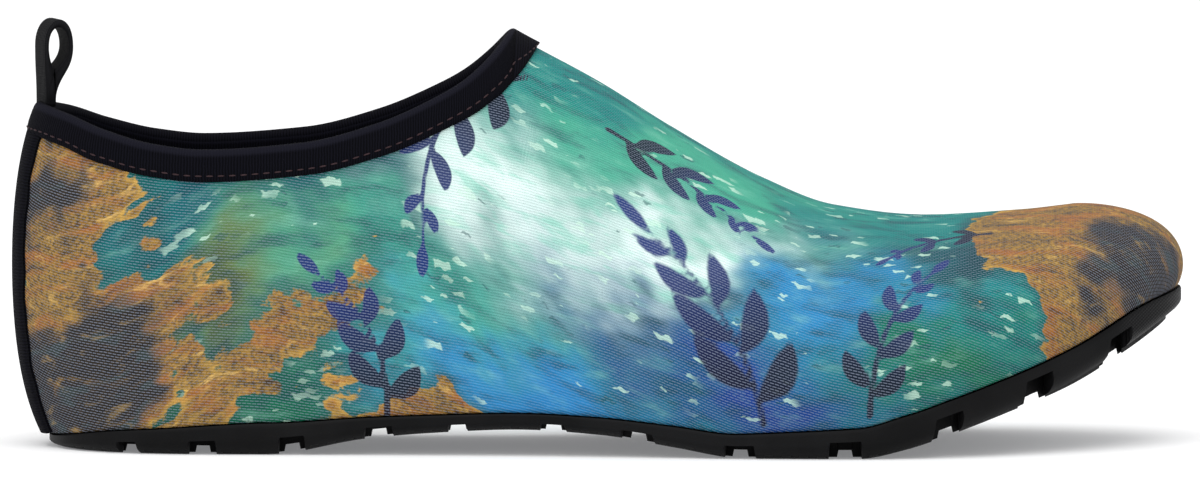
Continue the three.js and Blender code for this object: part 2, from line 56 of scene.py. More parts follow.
# %% [markdown]
# ## The camera
#
# The photograph looks straight at the outer side from a little above, through a long lens. A long lens
# far away keeps the near and the far collar edge almost the same size. The place that the camera aims
# at and the millimetres that fit in its width are measured on the photograph.

# %% Camera
IMAGE_WIDTH = 1200
PIXELS_PER_MM = 4.34
MM = 0.001
ELEVATION = math.radians(4.0)
LENS = 640.0
SENSOR = 36.0
FAR_CLIP = 50
aim = Vector((0.45, 0.0, 46.6)) * MM
distance = IMAGE_WIDTH / PIXELS_PER_MM * MM * LENS / SENSOR

camera_data = bpy.data.cameras.new("camera")
camera_data.lens = LENS
camera_data.sensor_width = SENSOR
camera_data.clip_end = FAR_CLIP
camera = bpy.data.objects.new("camera", camera_data)
bpy.context.scene.collection.objects.link(camera)
bpy.context.scene.camera = camera
camera.location = aim + Vector((0, -math.cos(ELEVATION), math.sin(ELEVATION))) * distance
camera.rotation_euler = (math.pi / 2 - ELEVATION, 0, 0)
print(f"camera {distance:.3f} m away")

# %% [markdown]
# ## Studio light
#
# A product photograph is lit by large soft boxes, so that matt cloth shows no hard shine. One box stands
# in front and one hangs above. A sun with a very wide disc draws the soft shadow under the sole, and a
# white world fills in the rest, as pale walls do. The Standard view shows colours as the materials say.

# %% Lights
LIT_PLACE = Vector((0, 0, 0.04))
SUN_STRENGTH = 1.1
SUN_DISC = math.radians(50)
SUN_TURN = (math.radians(28), math.radians(-8), 0)
WORLD_STRENGTH = 0.82

# Each soft box has a place and a side in metres, and a power in watts.
SOFT_BOXES = {
    "front_box": ((-0.35, -1.5, 1.0), 1.2, 6),
    "top_box": ((0.25, -0.2, 1.6), 1.0, 5),
}

scene = bpy.context.scene
for name, (place, size, power) in SOFT_BOXES.items():
    box_data = bpy.data.lights.new(name, "AREA")
    box_data.size = size
    box_data.energy = power
    box = bpy.data.objects.new(name, box_data)
    box.location = place
    box.rotation_euler = (LIT_PLACE - Vector(place)).to_track_quat("-Z", "Y").to_euler()
    scene.collection.objects.link(box)

sun_data = bpy.data.lights.new("wide_sun", "SUN")
sun_data.energy = SUN_STRENGTH
sun_data.angle = SUN_DISC
sun = bpy.data.objects.new("wide_sun", sun_data)
sun.rotation_euler = SUN_TURN
scene.collection.objects.link(sun)

world = bpy.data.worlds.new("studio")
world.use_nodes = True
background = world.node_tree.nodes["Background"]
background.inputs["Color"].default_value = (1, 1, 1, 1)
background.inputs["Strength"].default_value = WORLD_STRENGTH
scene.world = world
scene.view_settings.view_transform = "Standard"

# %% [markdown]
# ## The last
#
# A shoe is made over a last, a foot-shaped block. Everything here follows one surface, the outside of
# the last: a few sections from heel to toe, each with a half width on both sides, a ridge height and
# the angle by which the wall turns in under its widest line. Smooth curves run through the columns.
# These are the numbers that the solids are made from, so that each fine piece lies on its solid.

# %% Sizes and tables
LAST_LENGTH = 269
BALL_WIDTH = 96
INSTEP_HEIGHT = 94.6
TOE_TOP = 54
HEEL_HEIGHT = 78
COLLAR_DIP = 68.8
TOE_LEAN = 9
LEAN_FROM = 0.45
HEEL_FAN = 29
TOE_FAN = 25
SOLE_THICKNESS = 5.6
TOE_SPRING = 30
ARCH_RISE = 6

# Each row stands at a share of the length. Widths are shares of the ball's width. The ridge is 0 at the
# toe's height and 1 at the instep's, the tuck is in degrees, and square makes a section boxier.
LAST_COLUMNS = ("outer", "inner", "ridge", "tuck", "square")
LAST_ROWS = {
    0.00: (0.335, 0.335, 1.01, 46, 0.22),
    0.05: (0.338, 0.338, 1.01, 37, 0.20),
    0.11: (0.342, 0.342, 1.02, 28, 0.16),
    0.14: (0.344, 0.341, 1.16, 25, 0.13),
    0.20: (0.348, 0.336, 1.39, 22, 0.10),
    0.30: (0.362, 0.312, 1.36, 20, 0.06),
    0.37: (0.380, 0.304, 1.22, 20, 0.00),
    0.4255: (0.398, 0.312, 1.00, 20, -0.04),
    0.50: (0.430, 0.350, 0.73, 20, -0.08),
    0.56: (0.462, 0.395, 0.48, 20, -0.06),
    0.64: (0.492, 0.452, 0.18, 20, 0.00),
    0.70: (0.502, 0.490, 0.025, 20, 0.04),
    0.78: (0.488, 0.512, -0.037, 20, 0.08),
    0.86: (0.445, 0.500, -0.01, 20, 0.10),
    0.93: (0.385, 0.470, 0.040, 20, 0.11),
    1.00: (0.330, 0.430, 0.045, 20, 0.10),
}

# The collar rises from its dip: to the heel's height where back is 1, to the instep's where front is 1.
COLLAR_COLUMNS = ("back", "front")
COLLAR_ROWS = {
    0.000: (1.03, 0.000),
    0.016: (1.00, 0.000),
    0.040: (0.84, 0.000),
    0.075: (0.46, 0.000),
    0.118: (0.13, 0.000),
    0.160: (0.00, 0.000),
    0.246: (0.00, 0.062),
    0.311: (0.00, 0.236),
    0.360: (0.00, 0.457),
    0.385: (0.00, 0.605),
    0.409: (0.00, 0.818),
    0.425: (0.00, 1.010),
    0.450: (0.00, 1.360),
}

# The sole's spring, arch and thickness are shares of their named sizes.
SOLE_COLUMNS = ("spring", "arch", "thick")
SOLE_ROWS = {
    0.00: (0.00, 0.00, 0.40),
    0.025: (0.00, 0.00, 0.52),
    0.052: (0.00, 0.00, 0.69),
    0.08: (0.00, 0.00, 0.87),
    0.13: (0.00, 0.00, 1.05),
    0.18: (0.00, 0.00, 1.22),
    0.215: (0.00, 0.00, 1.30),
    0.30: (0.00, 0.62, 0.88),
    0.36: (0.00, 0.86, 0.74),
    0.43: (0.00, 1.00, 0.68),
    0.50: (0.00, 0.82, 0.72),
    0.56: (0.00, 0.40, 0.88),
    0.62: (0.00, 0.00, 1.00),
    0.72: (0.00, 0.00, 1.25),
    0.76: (0.065, 0.00, 1.42),
    0.80: (0.18, 0.00, 1.45),
    0.85: (0.34, 0.00, 1.45),
    0.90: (0.51, 0.00, 1.52),
    0.95: (0.755, 0.00, 1.52),
    1.00: (1.04, 0.00, 0.95),
}
print("rows of the last, the collar and the sole:", len(LAST_ROWS), len(COLLAR_ROWS), len(SOLE_ROWS))

# %% [markdown]
# ## Curves through the tables
#
# A plain spline through unevenly spaced numbers swings past them, which would show as a wave in the
# wall. This curve picks its slopes so that it never does: each is a weighted mean of the slopes beside
# it, and it is level where the numbers turn back.

# %% A smooth curve through one column
def curve_through(xs, ys):
    """A curve through points that doesn't overshoot between them, as a function of an array."""
    xs = np.array(xs, float)
    ys = np.array(ys, float)
    steps = np.diff(xs)
    slopes = np.diff(ys) / steps
    tangents = np.zeros(len(xs))
    tangents[0] = slopes[0]
    tangents[-1] = slopes[-1]
    for i in range(1, len(slopes)):
        if slopes[i - 1] * slopes[i] > 0:
            before = 2 * steps[i] + steps[i - 1]
            after = steps[i] + 2 * steps[i - 1]
            tangents[i] = (before + after) / (before / slopes[i - 1] + after / slopes[i])

    def value(x):
        x = np.clip(x, xs[0], xs[-1])
        i = np.clip(np.searchsorted(xs, x) - 1, 0, len(steps) - 1)
        t = (x - xs[i]) / steps[i]
        rise = ys[i + 1] - ys[i]
        a = steps[i] * tangents[i]
        b = steps[i] * tangents[i + 1]
        return ys[i] + t * (a + t * (3 * rise - 2 * a - b + t * (a + b - 2 * rise)))

    return value


def curves_of(columns, rows):
    """One curve for each named column of a table."""
    places = list(rows)
    by_column = zip(*rows.values())
    return {name: curve_through(places, values) for name, values in zip(columns, by_column)}


last = curves_of(LAST_COLUMNS, LAST_ROWS)
collar = curves_of(COLLAR_COLUMNS, COLLAR_ROWS)
sole = curves_of(SOLE_COLUMNS, SOLE_ROWS)
print("curves:", sorted(last), sorted(collar), sorted(sole))

# %% [markdown]
# ## Heights
#
# The real sole lies flat under the heel and the ball, rises a little at the arch and springs up at the
# toe. Each height along the shoe is one named size times one column of the tables, so that a size is
# changed in one place.

# %% Heights along the shoe
def sole_bottom(x):
    return TOE_SPRING * sole["spring"](x / LAST_LENGTH) + ARCH_RISE * sole["arch"](x / LAST_LENGTH)


def sole_depth(x):
    return SOLE_THICKNESS * sole["thick"](x / LAST_LENGTH)


def sole_top(x):
    return sole_bottom(x) + sole_depth(x)


def ridge_height(x):
    return TOE_TOP + (INSTEP_HEIGHT - TOE_TOP) * last["ridge"](x / LAST_LENGTH)


def collar_height(x):
    back = (HEEL_HEIGHT - COLLAR_DIP) * collar["back"](x / LAST_LENGTH)
    front = (INSTEP_HEIGHT - COLLAR_DIP) * collar["front"](x / LAST_LENGTH)
    return COLLAR_DIP + back + front


print(f"sole under the ball {sole_depth(180.0):.1f} mm, at the arch {sole_depth(115.0):.1f} mm")

# %% [markdown]
# ## The surface
#
# A point of the surface has a station, from 0 at the heel to 1 at the toe, an angle up the wall, from
# just under its widest line to a right angle on the ridge, and a side. The stations crowd towards
# both ends, where the outline turns quickly, and the sections fan out round the heel and the toe.
# The same function gives the upper's skin, the lining, the sole's outline and both tapes.

# %% The skin of the last
OUTER = -1
INNER = 1
TOP = math.pi / 2
NUDGE = 1e-3
RIDGE_END = 1 - 4 * NUDGE
SEAM_GAP = 0.3
HEEL_CAP = 0.165
HEEL_POWER = 2.1
TOE_CAP = {OUTER: 0.74, INNER: 0.80}
TOE_POWER = {OUTER: 2.0, INNER: 2.4}


def share_at(station):
    return (1 - np.cos(np.pi * station)) / 2


def station_at(share):
    return np.arccos(1 - 2 * share) / np.pi


def round_end(share, power):
    """A superellipse's quarter, from 0 at the tip to 1 where the side begins."""
    t = 1 - np.clip(share, 0, 1)
    return (1 - t ** power) ** (1 / power)


def smoothstep(value, low, high):
    t = np.clip((value - low) / (high - low), 0, 1)
    return t * t * (3 - 2 * t)


def widest_line(at, side):
    """The widest line in plan. The side is -1 or 1, alone or in an array."""
    outer = side < 0
    share = np.where(outer, last["outer"](at), last["inner"](at))
    cap = np.where(outer, TOE_CAP[OUTER], TOE_CAP[INNER])
    power = np.where(outer, TOE_POWER[OUTER], TOE_POWER[INNER])
    heel = round_end(at / HEEL_CAP, HEEL_POWER)
    toe = round_end((1 - at) / (1 - cap), power)
    return at * LAST_LENGTH, TOE_LEAN * (1 - toe) + side * share * BALL_WIDTH * toe * heel


def spine(at):
    """The line under the ridge, where the sections meet."""
    heel_reach = 2 * HEEL_FAN
    toe_reach = 2 * TOE_FAN
    back = np.maximum(heel_reach - at * LAST_LENGTH, 0)
    front = np.maximum(at * LAST_LENGTH - (LAST_LENGTH - toe_reach), 0)
    x = at * LAST_LENGTH + back ** 2 / (2 * heel_reach) - front ** 2 / (2 * toe_reach)
    return x, TOE_LEAN * smoothstep(x, LEAN_FROM * LAST_LENGTH, LAST_LENGTH - TOE_FAN)


def tuck_angle(station):
    return np.radians(last["tuck"](share_at(station)))


def skin(station, angle, side):
    """Points of the upper's outside, in millimetres; past either end and past the ridge it turns over."""
    station, angle, side = np.broadcast_arrays(*[np.asarray(v, float) for v in (station, angle, side)])
    over = angle > TOP
    side = np.where(over, -side, side)
    angle = np.where(over, np.pi - angle, angle)
    past = (station < 0) | (station > 1)
    side = np.where(past, -side, side)
    station = np.where(station > 1, 2 - station, np.abs(station))
    at = share_at(station)
    middle_x, middle_y = spine(at)
    edge_x, edge_y = widest_line(at, side)
    square = last["square"](at)
    tuck = tuck_angle(station)
    foot = np.cos(tuck) * (1 + square * np.sin(tuck) ** 2)
    reach = np.cos(angle) * (1 + square * np.sin(angle) ** 2)
    low = sole_top(middle_x + (edge_x - middle_x) * foot) + SEAM_GAP
    climb = (np.sin(angle) + np.sin(tuck)) / (1 + np.sin(tuck))
    x = middle_x + (edge_x - middle_x) * reach
    y = middle_y + (edge_y - middle_y) * reach
    return np.stack([x, y, low + (ridge_height(middle_x) - low) * climb], axis=-1)


def unit(vectors):
    return vectors / np.linalg.norm(vectors, axis=-1, keepdims=True)


def outward(station, angle, side):
    """The direction square to the skin."""
    station, angle, side = np.broadcast_arrays(*[np.asarray(v, float) for v in (station, angle, side)])
    at = np.where(angle > TOP - NUDGE, np.minimum(station, RIDGE_END), station)
    along = skin(at + NUDGE, angle, side) - skin(at - NUDGE, angle, side)
    up = skin(at, angle + NUDGE, side) - skin(at, angle - NUDGE, side)
    return unit(np.cross(along, up) * -side[..., None])


def shell(station, angle, side, distance):
    """Points at a distance outside the skin, or inside it where the distance is negative."""
    return skin(station, angle, side) + outward(station, angle, side) * np.asarray(distance)[..., None]


print("widest line from", skin(0, 0, OUTER).round(2), "to", skin(1, 0, OUTER).round(2))

# %% [markdown]
# ## Edges on the surface
#
# The seam with the sole and the collar's edge are lines on the surface. The collar is given as a height,
# so the angle at which each section reaches it is found by halving an interval, for all stations at
# once. The throat, where the collar crosses the ridge, is found in the same way.

# %% Where the skin meets the sole and the collar
BINDING_WIDTH = 6.2
HALVINGS = 40
THROAT_LIES = (0.3, 0.6)


def solve(low, high, miss):
    """The roots of a function that changes sign between two values, for arrays."""
    a, b = np.broadcast_arrays(np.asarray(low, float), np.asarray(high, float))
    start = np.sign(miss(a))
    for _ in range(HALVINGS):
        middle = (a + b) / 2
        same = np.sign(miss(middle)) == start
        a = np.where(same, middle, a)
        b = np.where(same, b, middle)
    return (a + b) / 2


def foot_edge(station, side, inset):
    """The upper's lower edge, inset level with the sole by a thickness measured square to the wall."""
    angle = -tuck_angle(station)
    normal = outward(station, angle, side)
    level = np.hypot(normal[..., 0], normal[..., 1])[..., None]
    step = normal * np.array([1, 1, 0]) * (-inset / level ** 2)
    return skin(station, angle, side) + step


def angle_below_collar(station, side, drop):
    """The angle at which a section reaches the collar's edge, lowered by a drop."""
    def miss(angle):
        point = skin(station, angle, side)
        return collar_height(point[..., 0]) - drop - point[..., 2]

    top = np.full(np.shape(station), TOP)
    found = solve(-tuck_angle(station), TOP, miss)
    return np.where(miss(top) > 0, TOP, found)


def binding_drop(station):
    """How far the binding's lower edge lies below the collar's, straight down."""
    x = share_at(station) * LAST_LENGTH
    return BINDING_WIDTH * np.hypot(1, (collar_height(x + 1) - collar_height(x - 1)) / 2)


def station_of_throat(drop):
    def miss(at):
        station = station_at(at)
        top = skin(station, TOP, OUTER)
        return collar_height(top[..., 0]) - drop(station) - top[..., 2]

    return float(station_at(solve(*THROAT_LIES, miss)))


throat = station_of_throat(lambda station: 0)
binding_tip = station_of_throat(binding_drop)


def collar_angle(station, side):
    return np.where(station >= throat, TOP, angle_below_collar(station, side, 0))


def binding_angle(station, side):
    return np.where(station >= binding_tip, TOP, angle_below_collar(station, side, binding_drop(station)))


print("the collar crosses the ridge at", skin(throat, TOP, OUTER).round(1))

# %% [markdown]
# ## From grids to meshes
#
# Each piece is built from grids of points that share their borders. Points in the same place are
# welded, and each face is kept as it was drawn, so that a piece is closed and its faces look out. The
# maps that a pattern follows are kept for each corner of a face, because the two halves of the cloth
# meet at the back seam with different values.

# %% A piece collected from grids
MAP_NAME = "cloth"
origin = np.zeros(3)


class Piece:
    """Faces between rows of points, in millimetres, with two map values a point."""

    def __init__(self):
        self.points = []
        self.maps = []
        self.faces = []
        self.slots = []
        self.count = 0

    def sheet(self, grid, flip, maps=None, slot=0):
        """A grid of rows by columns of points; flip turns its faces over."""
        rows, columns = grid.shape[:2]
        index = self.count + np.arange(rows * columns).reshape(rows, columns)
        quads = np.stack([index[:-1, :-1], index[:-1, 1:], index[1:, 1:], index[1:, :-1]], axis=-1)
        quads = quads.reshape(-1, 4)
        if flip:
            quads = quads[:, ::-1]
        if maps is None:
            maps = grid[..., :2]
        self.points.append(grid.reshape(-1, 3))
        self.maps.append(np.broadcast_to(maps, (rows, columns, 2)).reshape(-1, 2))
        self.faces.append(quads)
        self.slots.append(np.full(len(quads), slot))
        self.count += rows * columns

    def welded(self, tolerance=0.002):
        """The points without doubles, the faces on them, each face's corner maps and its slot."""
        points = np.concatenate(self.points)
        maps = np.concatenate(self.maps)
        quads = np.concatenate(self.faces)
        slots = np.concatenate(self.slots)
        keys = np.round(points / tolerance).astype(np.int64)
        _, first, place = np.unique(keys, axis=0, return_index=True, return_inverse=True)
        place = place.reshape(-1)
        faces = []
        corner_maps = []
        face_slots = []
        for quad, new, slot in zip(quads.tolist(), place[quads].tolist(), slots.tolist()):
            kept = [i for i in range(4) if new[i] != new[i - 1]]
            if len(kept) > 2 and len({new[i] for i in kept}) == len(kept):
                faces.append([new[i] for i in kept])
                corner_maps.extend(quad[i] for i in kept)
                face_slots.append(slot)
        return points[first], faces, maps[corner_maps], face_slots, first

    def build(self, name, materials):
        """The finished object, in metres in the frame, and each point's place in the grids."""
        points, faces, corner_maps, face_slots, first = self.welded()
        mesh = bpy.data.meshes.new(name)
        mesh.from_pydata(((points - origin) * MM).tolist(), [], faces)
        layer = mesh.uv_layers.new(name=MAP_NAME)
        layer.data.foreach_set("uv", corner_maps.astype(np.float32).ravel())
        for material in materials:
            mesh.materials.append(material)
        mesh.polygons.foreach_set("material_index", np.array(face_slots, np.int32))
        mesh.shade_smooth()
        made = bpy.data.objects.new(name, mesh)
        bpy.context.scene.collection.objects.link(made)
        return made, first


def finish_piece(piece, node):
    """A piece stands for a solid, which is hidden, and rides on the one body; how far it reaches past the
    solid is printed.
    """
    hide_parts(node)
    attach(piece, "root")
    low, high = (1000 * Vector(corner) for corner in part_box(node))
    own = np.array([v.co for v in piece.data.vertices]) * 1000
    over = [round(max(low[i] - own[:, i].min(), own[:, i].max() - high[i]), 2) for i in range(3)]
    triangles = sum(len(p.vertices) - 2 for p in piece.data.polygons)
    print(f"{piece.name}: {triangles} triangles, past its solid by {over} mm")


def stations_between(low, high, count):
    """Stations crowded at both ends of a stretch, at even steps of an angle."""
    shares = share_at(low) + (share_at(high) - share_at(low)) * share_at(np.linspace(0, 1, count + 1))
    found = station_at(np.clip(shares, 0, 1))
    found[0] = low
    found[-1] = high
    return found


print("stations of a stretch in four steps:", stations_between(0, 1, 4).round(3))

# %% [markdown]
# ## The place in the frame
#
# The last is measured from its heel, and the frame from the middle of the shoe's box on the floor. The
# upper's solid follows the last's widest line, so the two boxes give the shift from one to the other.

# %% The shift to the frame
near_widest = np.linspace(-0.3, 0.3, 7)
all_along = np.linspace(0, 1, 2001)[:, None]
measured = np.concatenate([skin(all_along, near_widest, side) for side in (OUTER, INNER)])
last_middle = (measured.min((0, 1)) + measured.max((0, 1))) / 2
node_low, node_high = (1000 * np.array(corner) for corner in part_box("upper"))
origin[:2] = (last_middle - (node_low + node_high) / 2)[:2]
print("the frame's origin lies at", origin.round(2), "mm on the last")

# %% [markdown]
# ## Maths on sockets
#
# A shader graph is easier to read as a formula. This class wraps a socket, and each operator on it
# adds one Math node, so that `(1 - mask) * height` builds three nodes. Colours go through Mix nodes.
# One method, `node`, adds any other node: its settings first, then its sockets.

# %% Sockets as values
class Value:
    """A number socket that takes part in sums."""

    def __init__(self, paint, socket):
        self.paint = paint
        self.socket = socket

    def math(self, operation, *others):
        values = {i + 1: other for i, other in enumerate(others)}
        values[0] = self
        return self.paint.node("ShaderNodeMath", {"operation": operation}, values).value()

    def __add__(self, other):
        return self.math("ADD", other)

    __radd__ = __add__

    def __mul__(self, other):
        return self.math("MULTIPLY", other)

    __rmul__ = __mul__

    def __sub__(self, other):
        return self.math("SUBTRACT", other)

    def __rsub__(self, other):
        return self * -1 + other

    def __abs__(self):
        return self.math("ABSOLUTE")

    def floor(self):
        return self.math("FLOOR")

    def fraction(self):
        return self.math("FRACT")

    def waves(self, pitch):
        """A sine wave that repeats once in a pitch, from -1 to 1."""
        return (self * (2 * math.pi / pitch)).math("SINE")

    def most(self, other):
        return self.math("MAXIMUM", other)

    def between(self, low, high):
        """From 0 at low to 1 at high, eased at both ends; low may be the greater of the two."""
        values = {"Value": self, "From Min": low, "From Max": high}
        settings = {"interpolation_type": "SMOOTHSTEP"}
        return self.paint.node("ShaderNodeMapRange", settings, values).value("Result")


class Node:
    """A node, whose outputs are asked for by name."""

    def __init__(self, paint, made):
        self.paint = paint
        self.made = made

    def value(self, name=0):
        return Value(self.paint, self.made.outputs[name])

    def link(self, name=0):
        return self.made.outputs[name]


class Paint:
    """A material that is built up node by node."""

    def __init__(self, name):
        self.material = bpy.data.materials.new(name)
        self.material.use_nodes = True
        self.tree = self.material.node_tree
        self.tree.nodes.clear()

    def node(self, kind, settings=None, values=None):
        made = self.tree.nodes.new(kind)
        for key, setting in (settings or {}).items():
            setattr(made, key, setting)
        for key, value in (values or {}).items():
            self.feed(made.inputs[key], value)
        return Node(self, made)

    def feed(self, socket, value):
        if isinstance(value, Value):
            value = value.socket
        if isinstance(value, bpy.types.NodeSocket):
            self.tree.links.new(value, socket)
        else:
            socket.default_value = value

    def mix(self, factor, first, second):
        """Two colours, from the first at 0 to the second at 1."""
        made = self.node("ShaderNodeMix", {"data_type": "RGBA"}).made
        named = {socket.identifier: socket for socket in made.inputs}
        self.feed(named["Factor_Float"], factor)
        self.feed(named["A_Color"], first)
        self.feed(named["B_Color"], second)
        return next(socket for socket in made.outputs if socket.identifier == "Result_Color")

    def split(self, vector):
        """A vector's three numbers, asked for as X, Y and Z."""
        return self.node("ShaderNodeSeparateXYZ", None, {0: vector})

    def map_values(self):
        """A piece's own map, and its two numbers in millimetres."""
        vector = self.node("ShaderNodeUVMap", {"uv_map": MAP_NAME}).link()
        parts = self.split(vector)
        return vector, parts.value("X"), parts.value("Y")

    def attribute(self, name):
        return self.node("ShaderNodeAttribute", {"attribute_name": name})

    def noise(self, vector, scale, detail=2.0, roughness=0.5, distortion=0.0):
        values = {"Vector": vector, "Scale": scale, "Detail": detail}
        values.update({"Roughness": roughness, "Distortion": distortion})
        return self.node("ShaderNodeTexNoise", None, values).value()

    def object_noise(self, scale, detail=2.0):
        """Noise on the piece's own place, with a scale in features a millimetre."""
        place = self.node("ShaderNodeTexCoord").link("Object")
        return self.noise(place, scale / MM, detail)

    def bump(self, height, depth):
        """A Bump node: the height goes from 0 to 1, and the depth is in millimetres."""
        values = {"Height": height, "Distance": depth * MM, "Strength": 1.0}
        return self.node("ShaderNodeBump", None, values).link()

    def surface(self, **values):
        """The shader and the output; the names of its sockets have spaces in place of underscores."""
        named = {key.replace("_", " "): value for key, value in values.items()}
        shader = self.node("ShaderNodeBsdfPrincipled", None, named).link()
        self.node("ShaderNodeOutputMaterial", None, {"Surface": shader})
        print(f"{self.material.name}: {len(self.tree.nodes)} nodes")
        return self.material


print("steps on a socket:", [name for name in vars(Value) if not name.startswith("__")])

# %% [markdown]
# Colours are written with six hexadecimal digits, as a picture editor shows them. Shaders work in linear
# light, so this helper undoes the curve of a screen.

# %% Colours as linear light
def colour(code):
    """A colour from its six hexadecimal digits, as linear light."""
    parts = [int(code[i:i + 2], 16) / 255 for i in (0, 2, 4)]
    return tuple(((p + 0.055) / 1.055) ** 2.4 if p > 0.04045 else p / 12.92 for p in parts) + (1.0,)


print("middle grey as linear light:", round(colour("808080")[0], 3))

# %% [markdown]
# ## The floor
#
# A pale sweep of paper on a lit table, as in a studio, keeps the shadow soft and grey. It isn't part of
# the shoe. It is one large face, and its faint glow stands for the light that comes through the table.

# %% Floor
FLOOR_HALF = 9.0
FLOOR_CORNERS = ((-1, -1), (1, -1), (1, 1), (-1, 1))
floor_data = bpy.data.meshes.new("floor")
corners = [(x * FLOOR_HALF, y * FLOOR_HALF, 0) for x, y in FLOOR_CORNERS]
floor_data.from_pydata(corners, [], [(0, 1, 2, 3)])
floor = bpy.data.objects.new("floor", floor_data)
scene.collection.objects.link(floor)

paper = Paint("pale_paper")
floor_data.materials.append(paper.surface(
    Base_Color=colour("E4E4E4"),
    Roughness=0.9,
    Specular_IOR_Level=0.1,
    Emission_Color=colour("F6F7FA"),
    Emission_Strength=0.22,
))

# %% [markdown]
# ## The rubber of the sole
#
# The sole is black rubber, moulded in one piece, with a satin skin that has a very fine grain. The toe's
# block is pressed with a fine texture. Its black is a little paler in soft cloudy patches.

# %% Rubber
HATCH_PITCH = 0.8
TOE_BLOCK = (252, 255)
PAD_PITCH = 4
FACES_DOWN = (-0.75, -0.92)

rubber = Paint("black_rubber")
grain = rubber.object_noise(2.2, 3.0)
clouds = rubber.object_noise(0.06, 3.0)
_, rubber_along, rubber_up = rubber.map_values()
hatch = rubber_along.waves(HATCH_PITCH) * rubber_up.waves(HATCH_PITCH) * 0.5 + 0.5
toe_block = rubber_along.between(*TOE_BLOCK)

# Underneath, where the rubber faces down, small square pads stand at their pitch.
facing = rubber.split(rubber.node("ShaderNodeNewGeometry").link("Normal"))
under = facing.value("Z").between(*FACES_DOWN)
spot = rubber.split(rubber.node("ShaderNodeTexCoord").link("Object"))
checks = spot.value("X").waves(PAD_PITCH * MM) * spot.value("Y").waves(PAD_PITCH * MM)
pads = checks.between(-0.15, 0.15) * under

rubber_height = grain * 0.5 + hatch * toe_block * 0.9 + pads * 3
rubber_shade = rubber.mix(clouds.between(0.35, 0.7), colour("09090A"), colour("111112"))
rubber_finish = rubber.surface(
    Base_Color=rubber.mix(hatch * toe_block * 0.35, rubber_shade, colour("242426")),
    Roughness=clouds * 0.14 + 0.46,
    Normal=rubber.bump(rubber_height, 0.10),
    Specular_IOR_Level=0.09,
)

# %% [markdown]
# ## The outsole
#
# The real sole is one moulding: a thin plate with a rounded side, slots that part its lugs along both
# edges and grooves that run across underneath. Cutting boxes out of a dense mesh would leave long
# thin faces. Here the underside is a grid whose points are raised where a slot or a groove is, with
# grid lines close on both sides of each wall, so that the walls stay steep and their rims are soft.

# %% Sizes of the sole
SOLE_MARGIN = 0.8
NOTCH_DEPTH = 7
NOTCH_WIDTH = 5.4
GROOVE_WIDTH = 3
GROOVE_DEPTH = 1.6
RIM = 0.35
LOW_RIM_IN = 2.7
EVEN_STATIONS = 150

# Each slot stands at a share of the length. Its width is in usual slots, and its height is a share of
# the sole's side.
NOTCHES = {
    0.093: (0.8, 0.52),
    0.160: (1.1, 0.50),
    0.237: (1.0, 0.55),
    0.311: (1.1, 0.55),
    0.378: (0.7, 0.45),
    0.459: (1.0, 0.45),
    0.531: (1.3, 0.50),
    0.618: (1.2, 0.55),
    0.708: (1.3, 0.60),
    0.796: (1.1, 0.62),
    0.873: (1.1, 0.70),
    0.945: (0.9, 0.66),
}

side_out = curve_through((0, 0.08, 0.5, 0.72, 0.86, 0.95, 1), (0.7, 1.0, 1.0, 0.35, -0.9, -2.1, -3.4))
lip = curve_through((0.024, 0.045, 0.09, 1), (-1.2, 0, 1, 1))


def foot_outward(station, side):
    """The direction square to the upper's lower edge, in plan."""
    inside = np.clip(station, NUDGE, 1 - NUDGE)
    along = foot_edge(inside + NUDGE, side, 0) - foot_edge(inside - NUDGE, side, 0)
    square = np.stack([along[..., 1], -along[..., 0], 0 * along[..., 0]], axis=-1) * -np.sign(side)
    square = unit(square)
    square = np.where((station < NUDGE)[..., None], [-1.0, 0, 0], square)
    return np.where((station > 1 - NUDGE)[..., None], [1.0, 0, 0], square)


def sole_stations():
    """Even steps along the sole, with close lines on both sides of each wall of a slot or groove."""
    even = share_at(np.linspace(0, 1, EVEN_STATIONS)) * LAST_LENGTH
    walls = []
    for at, (wide, _) in NOTCHES.items():
        for half in (NOTCH_WIDTH * wide / 2, GROOVE_WIDTH / 2):
            for way in (-1, 1):
                walls += [at * LAST_LENGTH + way * half, at * LAST_LENGTH + way * (half + RIM)]
    walls = np.array(walls)
    near = np.abs(even[:, None] - walls).min(axis=1)
    kept = even[(near > RIM) | (even < 1) | (even > LAST_LENGTH - 1)]
    return station_at(np.sort(np.concatenate([kept, walls])) / LAST_LENGTH)


def raised(x, wide, centre):
    """1 within a slot's width round its centre, 0 past its rim."""
    return 1 - smoothstep(np.abs(x - centre), wide / 2, wide / 2 + RIM)


stations = sole_stations()
print("slots:", len(NOTCHES), "stations of the sole:", len(stations))

# %% [markdown]
# The side goes down from the seam with the upper, rounds in towards the floor and stops at a slot's
# upper edge where there is one. The underside joins the two low rims. A lid closes the sole under the
# upper, where nothing of it shows.

# %% Build the outsole
TREAD_COLUMNS = 60
SIDE_ROWS = 14
SHARP_FROM = math.radians(38)
edges = {side: foot_edge(stations, side, 0) for side in (OUTER, INNER)}
square_out = {side: foot_outward(stations, side) for side in (OUTER, INNER)}
station_x = share_at(stations) * LAST_LENGTH
slot_high = np.zeros(len(stations))
groove_high = np.zeros(len(stations))
for at, (wide, high) in NOTCHES.items():
    centre = at * LAST_LENGTH
    slot_high = np.maximum(slot_high, raised(station_x, NOTCH_WIDTH * wide, centre) * high)
    groove_high = np.maximum(groove_high, raised(station_x, GROOVE_WIDTH, centre) * GROOVE_DEPTH)

